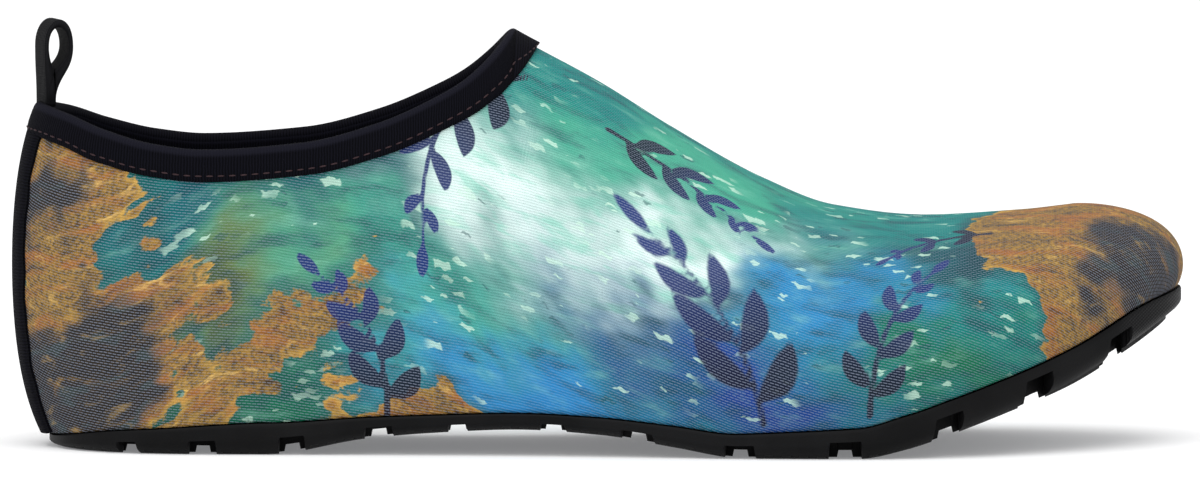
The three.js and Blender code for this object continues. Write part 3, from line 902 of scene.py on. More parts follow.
outsole_piece = Piece()
rims = {}
for side in (OUTER, INNER):
    down = np.linspace(0, 1, SIDE_ROWS)[:, None]
    x = edges[side][:, 0]
    out = (side_out(down) - 1 + lip(x / LAST_LENGTH)) * SOLE_MARGIN
    points = edges[side] + square_out[side] * out[..., None]
    height = sole_top(x) - sole_depth(x) * down
    floor_height = sole_bottom(x) + slot_high * sole_depth(x)
    points[..., 2] = np.maximum(height, floor_height)
    points[-1, :, 2] = floor_height
    along = np.broadcast_to(x, height.shape)
    outsole_piece.sheet(points, side == OUTER, np.stack([along, height], axis=-1))
    rims[side] = points
across = np.linspace(0, 1, TREAD_COLUMNS + 1)
across = np.unique(np.concatenate([across, 1 - across]))
low_rim = {side: rims[side][-1] for side in (OUTER, INNER)}
tread = low_rim[OUTER] * (1 - across[:, None, None]) + low_rim[INNER] * across[:, None, None]
width = np.linalg.norm(low_rim[INNER] - low_rim[OUTER], axis=-1)
from_edge = np.minimum(across[:, None], 1 - across[:, None]) * width
slot_end = NOTCH_DEPTH - LOW_RIM_IN
in_slot = 1 - smoothstep(from_edge, slot_end, slot_end + RIM * 2)
cut = np.maximum(in_slot * slot_high * sole_depth(tread[..., 0]), groove_high)
tread[..., 2] = sole_bottom(tread[..., 0]) + cut
tread[0] = low_rim[OUTER]
tread[-1] = low_rim[INNER]
outsole_piece.sheet(tread, True)
lid = np.stack([rims[OUTER][0], rims[INNER][0]])
outsole_piece.sheet(lid, False)
outsole, _ = outsole_piece.build("outsole_rubber", [rubber_finish])
outsole.data.set_sharp_from_angle(angle=SHARP_FROM)
finish_piece(outsole, "outsole")

# %% [markdown]
# ## The print of the cloth
#
# The cloth carries a printed wash of sea colours: warm sand at the heel and the toe, turquoise water
# with a pale glow in the middle and deeper blue below it. Over it stand dark fronds of sea grass. The
# print is laid out flat, in millimetres along the cloth and down from its ridge, as it would be on the
# roll. Soft colours are worked out for each point of the mesh. Rocks and fronds are kept as a distance
# to their outline, which stays sharp between the points.

# %% Colours of the print
DYES = {
    "mint": "4DA88D",
    "turquoise": "14807A",
    "teal": "0C5560",
    "deep_teal": "0A444C",
    "pale_glow": "DDF0EC",
    "sky": "2F86C2",
    "cobalt": "173A88",
    "olive": "66702E",
    "emerald": "0F6B48",
}

dye = {name: np.array(colour(code)[:3]) for name, code in DYES.items()}

# Each wash: its side, its place along and its height in the view from the side, its half length and half
# height, its turn in degrees, and its dye.
WASHES = (
    (OUTER, 70, 66, 60, 12, -4, "teal"),
    (OUTER, 56, 10, 64, 18, 0, "emerald"),
    (OUTER, 62, 48, 30, 13, -24, "mint"),
    (OUTER, 100, 30, 40, 15, -12, "mint"),
    (OUTER, 150, 66, 40, 15, -28, "mint"),
    (OUTER, 112, 60, 25, 16, 30, "pale_glow"),
    (OUTER, 152, 46, 28, 11, -24, "pale_glow"),
    (OUTER, 120, 12, 38, 14, 0, "sky"),
    (OUTER, 166, 16, 38, 16, 8, "cobalt"),
    (OUTER, 190, 36, 22, 12, -14, "sky"),
    (OUTER, 214, 22, 22, 13, 20, "emerald"),
    (OUTER, 222, 46, 26, 8, -6, "deep_teal"),
    (OUTER, 40, 30, 30, 12, -34, "olive"),
    (INNER, 60, 16, 60, 16, 4, "emerald"),
    (INNER, 80, 46, 44, 14, 14, "mint"),
    (INNER, 124, 44, 32, 17, -20, "pale_glow"),
    (INNER, 150, 18, 44, 16, 0, "cobalt"),
    (INNER, 196, 34, 32, 16, 10, "sky"),
    (INNER, 46, 40, 30, 12, 30, "olive"),
)

# Each mass of rock: the same, but its last value says how dark it grows towards its middle.
ROCKS = (
    (OUTER, 6, 58, 28, 24, 40, 0.72),
    (OUTER, 10, 14, 40, 24, -10, 1.0),
    (OUTER, 58, 24, 30, 9, -36, 0.85),
    (OUTER, 90, 5, 22, 7, -10, 0.9),
    (OUTER, 262, 30, 52, 46, 30, 0.50),
    (INNER, 2, 52, 26, 28, -10, 0.5),
    (INNER, 12, 12, 40, 20, -10, 1.0),
    (INNER, 72, 12, 28, 8, -20, 0.8),
    (INNER, 262, 36, 42, 38, -30, 0.66),
)
print("dyes:", len(DYES), "washes:", len(WASHES), "rocks:", len(ROCKS))

# %% [markdown]
# Washes and rocks have uneven outlines. A sum of a few waves, each with its own direction, length and
# shift from a seeded draw, gives a smooth field that wanders and is the same on each run.

# %% Smooth wandering lines
WAVES = 7


def wander(u, w, size, seed):
    """A smooth field round 0, mostly between -1 and 1, with waves of about a size in millimetres."""
    dice = np.random.default_rng(seed)
    total = np.zeros(np.shape(u))
    for _ in range(WAVES):
        turn = dice.uniform(0, 2 * math.pi)
        wave = 2 * math.pi / (size * dice.uniform(0.5, 1.5))
        shift = dice.uniform(0, 2 * math.pi)
        total = total + np.sin(wave * (math.cos(turn) * u + math.sin(turn) * w) + shift)
    return total / 3


field = wander(np.arange(270.0), np.zeros(270), 30, 3)
print(f"along one line the field goes from {field.min():.2f} to {field.max():.2f}")

# %% [markdown]
# ## The upper
#
# The upper is one wall of cloth, 1.8 mm thick with its lining, open at the collar and underneath. Its
# outside is the skin of the last, and its inside the same surface one wall further in. The grid is
# fine, so that soft troughs and ridges can be pushed into it along the normals.

# %% Maps of the cloth
WALL = 1.8
HEEL_ROUND = 2 * HEEL_FAN
RIB_WRAP = (110, 210)
RIB_SLOPE = 0.06
RIB_BEND = 11
RIB_BEND_LENGTH = 42
RIB_BEND_FROM = -20
FRONT_SLOPE = 0.16
FRONT_FROM = 60


def arc_from_ridge(grid):
    """How far each point of a column lies down the wall from the ridge."""
    steps = np.linalg.norm(np.diff(grid, axis=0), axis=-1)
    down = np.cumsum(steps[::-1], axis=0)[::-1]
    return np.concatenate([down, np.zeros((1, grid.shape[1]))])


def ridge_rib(stations):
    """The rib's place on the ridge, the same for both sides, so that the ribs meet there."""
    place = np.zeros(len(stations))
    along = share_at(stations) * LAST_LENGTH
    for side in (OUTER, INNER):
        low = -tuck_angle(stations)
        share = np.linspace(0, 1, 61)[:, None]
        length = arc_from_ridge(skin(stations, low + (TOP - low) * share, side))[0]
        shorter = -np.diff(length, prepend=length[0])
        place += (length + np.cumsum(smoothstep(along, *RIB_WRAP) * shorter)) / 2
    return place


def cloth_maps(stations, angles, side):
    """For each point: along the cloth, down from the ridge (less than 0 outside), and the rib's place."""
    low = -tuck_angle(stations)
    column_angles = low + (TOP - low) * np.linspace(0, 1, 121)[:, None]
    down = arc_from_ridge(skin(stations, column_angles, side))
    columns = range(len(stations))
    r = np.stack([np.interp(angles[:, i], column_angles[:, i], down[:, i]) for i in columns], axis=1)
    at = share_at(stations)
    middle_x, middle_y = spine(at)
    edge_x, edge_y = widest_line(at, side)
    fan = np.arctan2(np.abs(edge_y - middle_y), np.maximum(edge_x - middle_x, 0))
    steps = np.hypot(np.diff(edge_x), np.diff(edge_y))
    round_heel = np.concatenate([[0], np.cumsum(steps)])
    start = np.interp(HEEL_ROUND, edge_x, round_heel)
    along = np.where(edge_x < HEEL_ROUND, HEEL_ROUND - (start - round_heel), middle_x)
    u = along + r * np.cos(fan)
    w = side * r * np.sin(fan)
    bend = 1 - np.exp(-np.maximum(along, RIB_BEND_FROM) / RIB_BEND_LENGTH)
    tilt = RIB_SLOPE * along + RIB_BEND * bend
    tilt = tilt + FRONT_SLOPE * np.maximum(along - FRONT_FROM, 0)
    return u, w, ridge_rib(stations) + tilt - np.abs(w)


rib_places = ridge_rib(np.linspace(0, 1, 201))
print(f"the ribs' place on the ridge goes from {rib_places.min():.1f} to {rib_places.max():.1f} mm")

# %% [markdown]
# Stretch cloth on an empty shoe keeps a few soft creases: troughs and a ridge in front of the collar,
# where the foot bends, and shallow hollows along the side. Each is an oval dent with a soft border,
# placed as it is seen from the side, because that is how creases are judged.

# %% Creases
# Each crease: its side, its place along and its height, its length and width, its turn and its depth.
CREASES = (
    (OUTER, 184, 47, 26, 7, -64, -0.45),
    (OUTER, 176, 36, 20, 6, -58, 0.30),
    (OUTER, 70, 60, 44, 7, -6, -0.35),
    (OUTER, 120, 22, 34, 6, 12, -0.30),
    (OUTER, 30, 24, 26, 7, 30, -0.30),
    (OUTER, 252, 40, 16, 5, 70, -0.30),
    (INNER, 182, 44, 26, 7, -60, -0.45),
    (INNER, 96, 30, 40, 8, 8, -0.40),
    (INNER, 36, 30, 26, 8, 20, -0.30),
)


def nearest_place(points, u, w, along, height):
    """The cloth's own place nearest to a point that is given as seen from the side."""
    gap = (points[..., 0] - along) ** 2 + (points[..., 2] - height) ** 2
    found = np.unravel_index(np.argmin(gap), gap.shape)
    return u[found], w[found]


def local(u, w, place, turn):
    """Coordinates along and across a mark that is turned on the cloth."""
    c = math.cos(math.radians(turn))
    s = math.sin(math.radians(turn))
    du = u - place[0]
    dw = w - place[1]
    return c * du + s * dw, c * dw - s * du


print("creases:", len(CREASES))

# % [markdown]
# Each half of the upper is a fine grid for the outside and a coarser one for the lining. Narrow strips
# join the two along the sole's seam and inside the binding, so that the wall is closed. The creases are
# pushed in along the normals, and fade out at the seam and under the tape.

# % Build the upper's grids
OPEN_COLUMNS = 159
TIP_COLUMNS = 12
FRONT_COLUMNS = 209
FINE_ROWS = 78
BINDING_ROWS = 6
LINING_ROWS = 20
FADE_OVER_SEAM = (0, 0.06)
FADE_UNDER_TAPE = (1.0, 0.92)
upper_stations = np.unique(np.concatenate([
    stations_between(0, throat, OPEN_COLUMNS),
    stations_between(throat, binding_tip, TIP_COLUMNS),
    stations_between(binding_tip, 1, FRONT_COLUMNS),
]))
open_count = int(np.sum(upper_stations <= throat + 1e-9))

upper_piece = Piece()
print_u = []
print_w = []
upper_angles = {}
cloth_u = []
cloth_w = []


def add_to_upper(grid, flip, maps, slot, u=0, w=0):
    """Adds a grid to the upper, and the place on the print of each of its points."""
    upper_piece.sheet(grid, flip, maps, slot)
    for kept, values in ((cloth_u, u), (cloth_w, w)):
        kept.append(np.broadcast_to(values, grid.shape[:2]).ravel())


for side in (OUTER, INNER):
    low = -tuck_angle(upper_stations)
    middle = binding_angle(upper_stations, side)
    top = collar_angle(upper_stations, side)
    wall_share = np.linspace(0, 1, FINE_ROWS + 1)[:, None]
    rim_share = np.linspace(0, 1, BINDING_ROWS + 1)[1:, None]
    angles = np.concatenate([low + (middle - low) * wall_share, middle + (top - middle) * rim_share])
    u, w, rib = cloth_maps(upper_stations, angles, side)
    points = skin(upper_stations, angles, side)
    normals = outward(upper_stations, angles, side)
    push = np.zeros(angles.shape)
    for crease_side, along, height, long, wide, turn, depth in CREASES:
        if crease_side == side:
            place = nearest_place(points, u, w, along, height)
            p, q = local(u, w, place, turn)
            push += depth * np.exp(-(p / long * 2) ** 2 - (q / wide * 2) ** 2)
    fade = smoothstep(wall_share, *FADE_OVER_SEAM) * smoothstep(wall_share, *FADE_UNDER_TAPE)
    fade = np.concatenate([np.broadcast_to(fade, (FINE_ROWS + 1, len(upper_stations))),
                           np.zeros((BINDING_ROWS, len(upper_stations)))])
    points = points + normals * (push * fade)[..., None]
    add_to_upper(points, side == INNER, np.stack([u, rib], axis=-1), 0, u, w)
    print_u.append(u)
    print_w.append(w)
    upper_angles[side] = angles

    lining_share = np.linspace(0, 1, LINING_ROWS + 1)[:, None]
    lining_angles = low + (top - low) * lining_share
    inside = shell(upper_stations, lining_angles, side, np.full(lining_angles.shape, -WALL))
    inside[0] = foot_edge(upper_stations, side, WALL)
    lining_maps = np.stack([np.broadcast_to(share_at(upper_stations) * LAST_LENGTH, lining_angles.shape),
                            inside[..., 2]], axis=-1)
    add_to_upper(inside, side == OUTER, lining_maps, 1)
    add_to_upper(np.stack([inside[0], points[0]]), side == INNER, None, 1)
    rim = slice(0, open_count)
    add_to_upper(np.stack([points[-1, rim], inside[-1, rim]]), side == INNER, None, 1)
print("grid of the upper:", angles.shape)

# %% [markdown]
# The marks of the print are given as they are seen from the side. The nearest place on the cloth is
# looked up once for each, and the mark is then drawn there, in the cloth's own millimetres.

# %% Places on the cloth
# Each sprig: its side, where it roots and where it ends (along and height), its bend, its pairs of leaves,
# a leaf's length and half width, the angle at which leaves open, and how soft its outline is.
SPRIGS = (
    (OUTER, 118, 86, 94, 48, 0.14, 4, 14, 2.8, 42, 0.35),
    (OUTER, 136, 74, 170, 50, -0.08, 4, 12, 2.2, 34, 0.35),
    (OUTER, 86, 8, 70, 42, 0.14, 4, 13, 2.7, 40, 0.4),
    (OUTER, 172, 8, 146, 52, 0.12, 4, 19, 3.6, 38, 1.0),
    (OUTER, 196, 10, 210, 42, -0.10, 4, 12, 2.4, 38, 0.6),
    (OUTER, 224, 50, 200, 45, 0.10, 3, 8, 1.5, 36, 0.35),
    (INNER, 186, 12, 148, 48, 0.14, 4, 17, 3.3, 38, 0.6),
    (INNER, 204, 14, 214, 42, -0.14, 4, 10, 2.1, 38, 0.5),
    (INNER, 112, 84, 80, 52, -0.12, 4, 14, 2.8, 42, 0.35),
    (INNER, 60, 10, 80, 42, -0.16, 4, 12, 2.5, 40, 0.35),
)

outside_of = {}
for side, u, w in zip((OUTER, INNER), print_u, print_w):
    outside_of[side] = (skin(upper_stations, upper_angles[side], side), u, w)


def side_places(marks):
    """The place on the cloth of each mark that is given by its side, its place along and its height."""
    return {(side, along, height): nearest_place(*outside_of[side], along, height)
            for side, along, height in marks}


MARK_PLACES = side_places([row[:3] for row in WASHES + ROCKS])
SPRIG_PLACES = side_places([row[:3] for row in SPRIGS] + [(row[0], row[3], row[4]) for row in SPRIGS])
print("marks:", len(MARK_PLACES), "ends of sprigs:", len(SPRIG_PLACES))

# %% [markdown]
# A wash is an oval of one dye with a soft border, laid over the washes before it. A mass of rock is kept
# as the depth inside its oval. Both are drawn on shifted places, so that their outlines wander.

# %% Washes and rocks
def warped(u, w):
    """The places on the cloth, shifted along wandering lines, so that no wash is a plain oval."""
    warp_u = u + 6 * wander(u, w, 30, 3) + 2.2 * wander(u, w, 9, 5)
    warp_w = w + 5 * wander(u, w, 26, 4) + 2.0 * wander(u, w, 8, 6)
    return warp_u, warp_w


def wash_colours(u, w):
    """The soft colours of the water in the print at places on the cloth."""
    total = np.ones((len(u), 3)) * dye["turquoise"]
    for side, along, height, long, high, turn, name in WASHES:
        p, q = local(*warped(u, w), MARK_PLACES[side, along, height], turn * side)
        inside = np.exp(-((p / long) ** 2 + (q / high) ** 2) ** 1.2)
        total = total + (dye[name] - total) * inside[:, None]
    return total


def rock_values(u, w):
    """How far inside a mass of rock each place lies, in millimetres, and how dark the rock is there."""
    depth = np.full(len(u), -60.0)
    darkness = np.zeros(len(u))
    for side, along, height, long, high, turn, dark in ROCKS:
        p, q = local(*warped(u, w), MARK_PLACES[side, along, height], turn * side)
        mine = (1 - np.hypot(p / long, q / high)) * min(long, high)
        weight = smoothstep(mine - depth, -3, 3)
        darkness = darkness + (dark - darkness) * weight
        depth = np.maximum(depth, mine)
    return depth, darkness


reach = rock_values(np.concatenate(print_u).ravel()[::997], np.concatenate(print_w).ravel()[::997])[0]
print(f"deepest place tried in the rock: {reach.max():.1f} mm")

# %% [markdown]
# A frond is a bent stem with pairs of leaves that grow smaller towards its tip. A leaf is what two equal
# circles share, and the stem is a line that grows thinner. Each shape gives the signed distance to its
# outline, and the least of them is the frond's own.

# %% Leaves and stems
STEM_WIDTHS = (1.5, 0.7)


def leaf_shape(u, w, root, tip, half, bend):
    """The signed distance to a leaf with two pointed ends, less than 0 inside."""
    way = tip - root
    length = np.hypot(*way)
    way = way / length
    middle = (root + tip) / 2
    p = (u - middle[0]) * way[0] + (w - middle[1]) * way[1]
    q = (w - middle[1]) * way[0] - (u - middle[0]) * way[1]
    q = q - bend * length * np.maximum(1 - (2 * p / length) ** 2, 0)
    radius = (length ** 2 / 4 + half ** 2) / (2 * half)
    return np.hypot(p, np.abs(q) + radius - half) - radius


def stroke(u, w, line, wide, narrow):
    """The signed distance to a stroke along a line that narrows towards its end."""
    best = np.full(len(u), 99.0)
    shares = np.linspace(0, 1, len(line))
    for start, end, from_share, to_share in zip(line, line[1:], shares, shares[1:]):
        way = end - start
        t = np.clip(((u - start[0]) * way[0] + (w - start[1]) * way[1]) / (way @ way), 0, 1)
        gap = np.hypot(u - start[0] - t * way[0], w - start[1] - t * way[1])
        share = from_share + (to_share - from_share) * t
        best = np.minimum(best, gap - (wide + (narrow - wide) * share) / 2)
    return best


def sprig_lines(root, tip, bend, pairs, leaf, half, opening):
    """A bent stem, and the root, tip, half width and curl of each leaf along it."""
    way = tip - root
    aside = np.array([-way[1], way[0]])
    share = np.linspace(0, 1, 13)[:, None]
    stem = root + way * share + aside * bend * 4 * share * (1 - share)
    leaves = []
    for i in range(pairs):
        t = 0.14 + 0.70 * i / (pairs - 1)
        foot = root + way * t + aside * bend * 4 * t * (1 - t)
        course = way + aside * bend * 4 * (1 - 2 * t)
        course = course / np.hypot(*course)
        size = leaf * (1.05 - 0.50 * t) * (0.70 + 0.30 * math.sin(3.0 * t + 0.4))
        for way_side in (-1, 1):
            angle = math.radians(opening * (1.15 - 0.45 * t)) * way_side
            turned = np.array([
                course[0] * math.cos(angle) - course[1] * math.sin(angle),
                course[0] * math.sin(angle) + course[1] * math.cos(angle),
            ])
            start = foot + course * way_side * leaf * 0.08
            leaves.append((start, start + turned * size, half * size / leaf, 0.10 * way_side))
    leaves.append((stem[-1] - course * 0.5, tip + course * leaf * 0.55, half * 0.5, 0.0))
    return stem, leaves


def sprig_values(u, w):
    """The distance to the sprigs, in widths of their soft rim, and how far up them a place is."""
    best = np.full(len(u), 60.0)
    climb = np.zeros(len(u))
    for side, along, height, tip_along, tip_height, bend, pairs, leaf, half, opening, soft in SPRIGS:
        root = np.array(SPRIG_PLACES[side, along, height])
        tip = np.array(SPRIG_PLACES[side, tip_along, tip_height])
        centre = (root + tip) / 2
        far = np.hypot(*(tip - root)) / 2 + 2 * leaf
        mine = np.flatnonzero(np.hypot(u - centre[0], w - centre[1]) < far)
        stem, leaves = sprig_lines(root, tip, bend * side, pairs, leaf, half, opening)
        my_u = u[mine]
        my_w = w[mine]
        gap = stroke(my_u, my_w, stem, *STEM_WIDTHS)
        along_stem = (my_u - root[0]) * (tip - root)[0] + (my_w - root[1]) * (tip - root)[1]
        share = np.clip(along_stem / ((tip - root) @ (tip - root)), 0, 1)
        for start, end, width, curl in leaves:
            gap = np.minimum(gap, leaf_shape(my_u, my_w, start, end, width, curl))
        gap = gap / soft
        climb[mine] = np.where(gap < best[mine], share, climb[mine])
        best[mine] = np.minimum(best[mine], gap)
    return best, climb


sprig_test = [len(sprig_lines(np.zeros(2), np.array([40.0, 0.0]), *row[5:10])[1]) for row in SPRIGS]
print("leaves on the sprigs:", sprig_test)

# %% [markdown]
# ## The printed cloth
#
# The cloth is a stretch weave with fine ribs, printed on its white face. The ribs are bands of short
# stitches, 0.65 mm apart, each row shifted by half a stitch. Where the dye is dark, the stitches' tops
# are painted a little paler, partly for the white face showing through and partly as a painted highlight.
# The gaps between them get painted shade, which is all that shows on pale dye. All of this is arithmetic
# on the cloth's own map, so the ribs bend with the cloth as on the real shoe.

# %% Weave of the cloth
RIB_PITCH = 0.65
STITCH_PITCH = 1.15

cloth = Paint("printed_cloth")
cloth_vector, cloth_along, cloth_rib = cloth.map_values()
wobble = cloth.noise(cloth_vector, 0.35, 2.0) - 0.5
rows = (cloth_rib + wobble * 0.35) * (1 / RIB_PITCH)
row_number = rows.floor()
across_row = abs(rows.fraction() - 0.5)
shift = (row_number * 0.5).fraction()
stitches = cloth_along * (1 / STITCH_PITCH) + shift
along_row = abs(stitches.fraction() - 0.5)
# dash marks the stitches' tops, which get a painted highlight on dark dye; gap_line marks the gaps between
# the ribs, which get painted shade.
dash = across_row.between(0.28, 0.12) * along_row.between(0.47, 0.35)
gap_line = across_row.between(0.26, 0.46)
print("nodes for the weave:", len(cloth.tree.nodes))

# %% [markdown]
# The water's soft colours come from the mesh, and the shader adds what is finer: brushed streaks, a
# darker line along the rocks, and small pointed flecks, pale ones for spray and dark ones for ripples.
# The flecks are cells of a Voronoi pattern, of which a seeded few are kept.

# %% Water in the print
FLECK_SHAKE = (2.6, 2.6, 0.0)
FLECK_STRETCH = (0.45, 1.2, 1.0)
STREAK_STRETCH = (0.35, 1.0, 1.0)
STREAK_TURN = (0, 0, math.radians(-28))
roll = cloth.attribute("roll").link("Vector")
base = cloth.attribute("wash").link("Color")
shake = cloth.node("ShaderNodeTexNoise", None, {"Vector": roll, "Scale": 0.45, "Detail": 2.0})
shaken = cloth.node("ShaderNodeVectorMath", {"operation": "MULTIPLY_ADD"}, {
    0: shake.link("Color"),
    1: FLECK_SHAKE,
    2: roll,
}).link()


def flecks(turn, scale, cover, seed):
    """A mask of small pointed flecks that lie about one way."""
    turned = cloth.node("ShaderNodeMapping", None, {
        "Vector": shaken,
        "Location": (seed, seed * 0.7, seed * 0.3),
        "Rotation": (0, 0, math.radians(turn)),
        "Scale": FLECK_STRETCH,
    }).link()
    settings = {"feature": "F1", "distance": "MANHATTAN"}
    cells = cloth.node("ShaderNodeTexVoronoi", settings, {"Vector": turned, "Scale": scale})
    pick = cloth.node("ShaderNodeSeparateColor", None, {0: cells.link("Color")})
    return cells.value("Distance").between(0.42, 0.34) * pick.value("Red").between(1 - cover, 1.04 - cover)


swell = cloth.noise(roll, 0.05, 2.0)
streak = cloth.node("ShaderNodeMapping", None, {
    "Vector": roll,
    "Rotation": STREAK_TURN,
    "Scale": STREAK_STRETCH,
}).link()
brush = cloth.noise(streak, 0.20, 5.0, 0.62, 0.3)
clump = cloth.noise(roll, 0.055, 2.0).between(0.42, 0.58)
crag = cloth.noise(streak, 0.13, 5.0, 0.60, 0.6)
grit = cloth.noise(roll, 0.9, 4.0, 0.7)
vein = cloth.noise(streak, 0.32, 6.0, 0.68, 0.8)
rock_depth = cloth.attribute("rock").value("Fac") + (crag - 0.5) * 16 + (grit - 0.5) * 3
rock = rock_depth.between(-0.4, 0.6)
glow = cloth.node("ShaderNodeRGBToBW", None, {0: base}).value().between(0.22, 0.60)
base = cloth.mix(brush.between(0.52, 0.80) * 0.38, base, colour("9AD6C2"))
base = cloth.mix(brush.between(0.53, 0.28) * (1 - glow) * 0.70, base, colour("083F48"))
base = cloth.mix(brush.between(0.54, 0.34) * glow * 0.55, base, colour("6CC4AC"))
dark_flecks = flecks(60, 0.34, 0.34, 29.0)
base = cloth.mix(dark_flecks * clump * 0.55, base, colour("0E4C50"))
pale_flecks = flecks(35, 0.26, 0.46, 3.0).most(flecks(-20, 0.38, 0.38, 17.0))
base = cloth.mix(pale_flecks * clump * 0.66, base, colour("C6E8D6"))
base = cloth.mix(rock_depth.between(-7, 0) * 0.50, base, colour("0A3438"))
print("nodes for the weave and the water:", len(cloth.tree.nodes))

# %% [markdown]
# The rock is sandy where the light falls on it and nearly black in its middle, with fine dark and pale
# veins, and its rim is lit where it meets the water. The same noises as in the water drive it, so that
# both look brushed by one hand.

# %% Rock in the print
rock_dark = cloth.attribute("dark").value("Fac")
sandy = cloth.mix(grit.between(0.35, 0.65), colour("5C4620"), colour("A8823C"))
sandy = cloth.mix(brush.between(0.46, 0.66) * 0.60, sandy, colour("A8622A"))
deep = (rock_depth - (1 - rock_dark) * 40).between(0.5, 9) * crag.between(0.20, 0.40)
shadow = cloth.mix(brush.between(0.50, 0.62), colour("141416"), colour("173638"))
stone = cloth.mix(deep * 0.92, sandy, shadow)
stone = cloth.mix(vein.between(0.47, 0.32) * 0.75, stone, colour("241D17"))
stone = cloth.mix(vein.between(0.55, 0.72) * (1 - deep * 0.60) * 0.70, stone, colour("E8C17A"))
lit_rim = rock_depth.between(2.4, 0.3) * swell.between(0.42, 0.62)
stone = cloth.mix(lit_rim * 0.6, stone, colour("DDB25C"))
base = cloth.mix(rock, base, stone)
print("nodes with the rock:", len(cloth.tree.nodes))

# %% [markdown]
# The fronds lie over water and rock, nearly black at the root and blue at the tip. Last comes the weave:
# its gaps get painted shade, and on dark dye the tops of its stitches are painted paler, partly for the
# white face and partly as a painted highlight.

# %% Fronds and finished cloth
leaf_gap = cloth.attribute("leaf").value("Fac") + (cloth.noise(roll, 0.6, 2.0) - 0.5) * 0.5
climb = cloth.attribute("climb").value("Fac")
leaf_colour = cloth.mix(climb.between(0.15, 1.0), colour("100D22"), colour("1D2C70"))
base = cloth.mix(leaf_gap.between(0.5, -0.5) * 0.96, base, leaf_colour)

pale = cloth.node("ShaderNodeRGBToBW", None, {0: base}).value()
# Painted light of the weave: the gaps are darkened as painted shade, and on dark dye the stitch tops are
# paled, partly for the white face showing through and partly as a painted highlight.
white_face_and_highlight = dash * pale.between(0.40, 0.01)
weave_shade_and_highlight = cloth.mix(gap_line * 0.45, base, cloth.mix(0.6, base, colour("0B2226")))
weave_shade_and_highlight = cloth.mix(white_face_and_highlight * 0.44, weave_shade_and_highlight, colour("8E98AC"))
cloth_height = dash * 0.7 + (1 - gap_line) * 0.3
cloth_finish = cloth.surface(
    Base_Color=weave_shade_and_highlight,
    Roughness=0.85,
    Specular_IOR_Level=0.08,
    Normal=cloth.bump(cloth_height, 0.10),
)

# %% [markdown]
# The lining is the cloth's black back, a plain fine knit. Two crossed waves make its small bumps.

# %% Lining
KNIT_PITCH = 0.8
lining = Paint("black_lining")
_, lining_along, lining_up = lining.map_values()
knit = lining_along.waves(KNIT_PITCH) * lining_up.waves(KNIT_PITCH) * 0.5 + 0.5
lining_finish = lining.surface(
    Base_Color=lining.mix(knit, colour("08080B"), colour("111116")),
    Roughness=0.92,
    Specular_IOR_Level=0.1,
    Normal=lining.bump(knit, 0.12),
)

# %% [markdown]
# The welded upper gets the values of the print as attributes of its points. The shader reads them by
# name, and they go with the mesh wherever it goes.

# %% Build the upper
def add_numbers(mesh, name, values):
    """One number for each point of a mesh."""
    layer = mesh.attributes.new(name, "FLOAT", "POINT")
    layer.data.foreach_set("value", np.asarray(values, np.float32))


def add_colours(mesh, name, values):
    """One colour for each point of a mesh."""
    layer = mesh.attributes.new(name, "FLOAT_COLOR", "POINT")
    full = np.concatenate([values, np.ones((len(values), 1))], axis=1)
    layer.data.foreach_set("color", full.astype(np.float32).ravel())


def add_vectors(mesh, name, values):
    """One vector for each point of a mesh."""
    layer = mesh.attributes.new(name, "FLOAT_VECTOR", "POINT")
    layer.data.foreach_set("vector", values.astype(np.float32).ravel())


upper, first = upper_piece.build("upper_cloth", [cloth_finish, lining_finish])
all_u = np.concatenate(cloth_u)[first]
all_w = np.concatenate(cloth_w)[first]
rock_inside, rock_darkness = rock_values(all_u, all_w)
leaf, climb_share = sprig_values(all_u, all_w)
add_vectors(upper.data, "roll", np.stack([all_u, all_w, 0 * all_u], axis=-1))
add_colours(upper.data, "wash", wash_colours(all_u, all_w))
add_numbers(upper.data, "rock", rock_inside)
add_numbers(upper.data, "dark", rock_darkness)
add_numbers(upper.data, "leaf", leaf)
add_numbers(upper.data, "climb", climb_share)
finish_piece(upper, "upper")

# %% [markdown]
# ## Black tape
#
# The collar's binding and the heel's strip are cut from one black knitted tape. Its ribs stand square to
# its length and are about 0.67 mm apart. Where the binding turns over the collar's edge, the ribs are
# spread, and the light they catch is a painted highlight: a thin paler line.

# %% Tape
TAPE_RIB = 0.67
# Where across the tape the painted highlight on the fold starts and ends, in millimetres.
EDGE_STARTS = (5.2, 6.2)
EDGE_ENDS = (8.2, 7.0)
tape = Paint("black_tape")
tape_vector, tape_along, tape_across = tape.map_values()
tape_wobble = (tape.noise(tape_vector, 0.5, 2.0) - 0.5) * 0.5
ribs = (tape_along + tape_wobble).waves(TAPE_RIB) * 0.5 + 0.5
fuzz = tape.noise(tape_vector, 3.0, 3.0)
tape_height = ribs * 0.7 + fuzz * 0.5
# A thin paler line along the fold is a painted highlight, where the spread ribs catch the light.
fold_highlight = tape_across.between(*EDGE_STARTS) * tape_across.between(*EDGE_ENDS)
tape_shade = tape.mix(ribs * 0.8, colour("040407"), colour("0F0F17"))
tape_finish = tape.surface(
    Base_Color=tape.mix(fold_highlight * 0.5, tape_shade, colour("1E1E28")),
    Roughness=0.9,
    Specular_IOR_Level=0.05,
    Normal=tape.bump(tape_height, 0.12),
)

# %% [markdown]
# ## The collar's binding
#
# On the real shoe a tape is folded over the cloth's cut edge and sewn through both legs. The legs lie on
# the skin and on the lining, and the fold is round. The tape's cut edges are pulled down by the
# seam, so its thickness tapers there.

# %% Binding
BINDING_THICKNESS = 1.1
REACH = SEAM_GAP + BINDING_THICKNESS
LEG_ROWS = 14
FOLD_ROWS = 8
FOLD_WIDTH = 4
UNDER_SHARE = 0.2
CHANNEL_GAP = 0.1
CHANNEL_RISE = 0.25
taper = curve_through((0, 0.06, 0.2, 0.45, 0.8, 1), (0.25, 0.62, 0.86, 1.0, 1.0, 0.97))


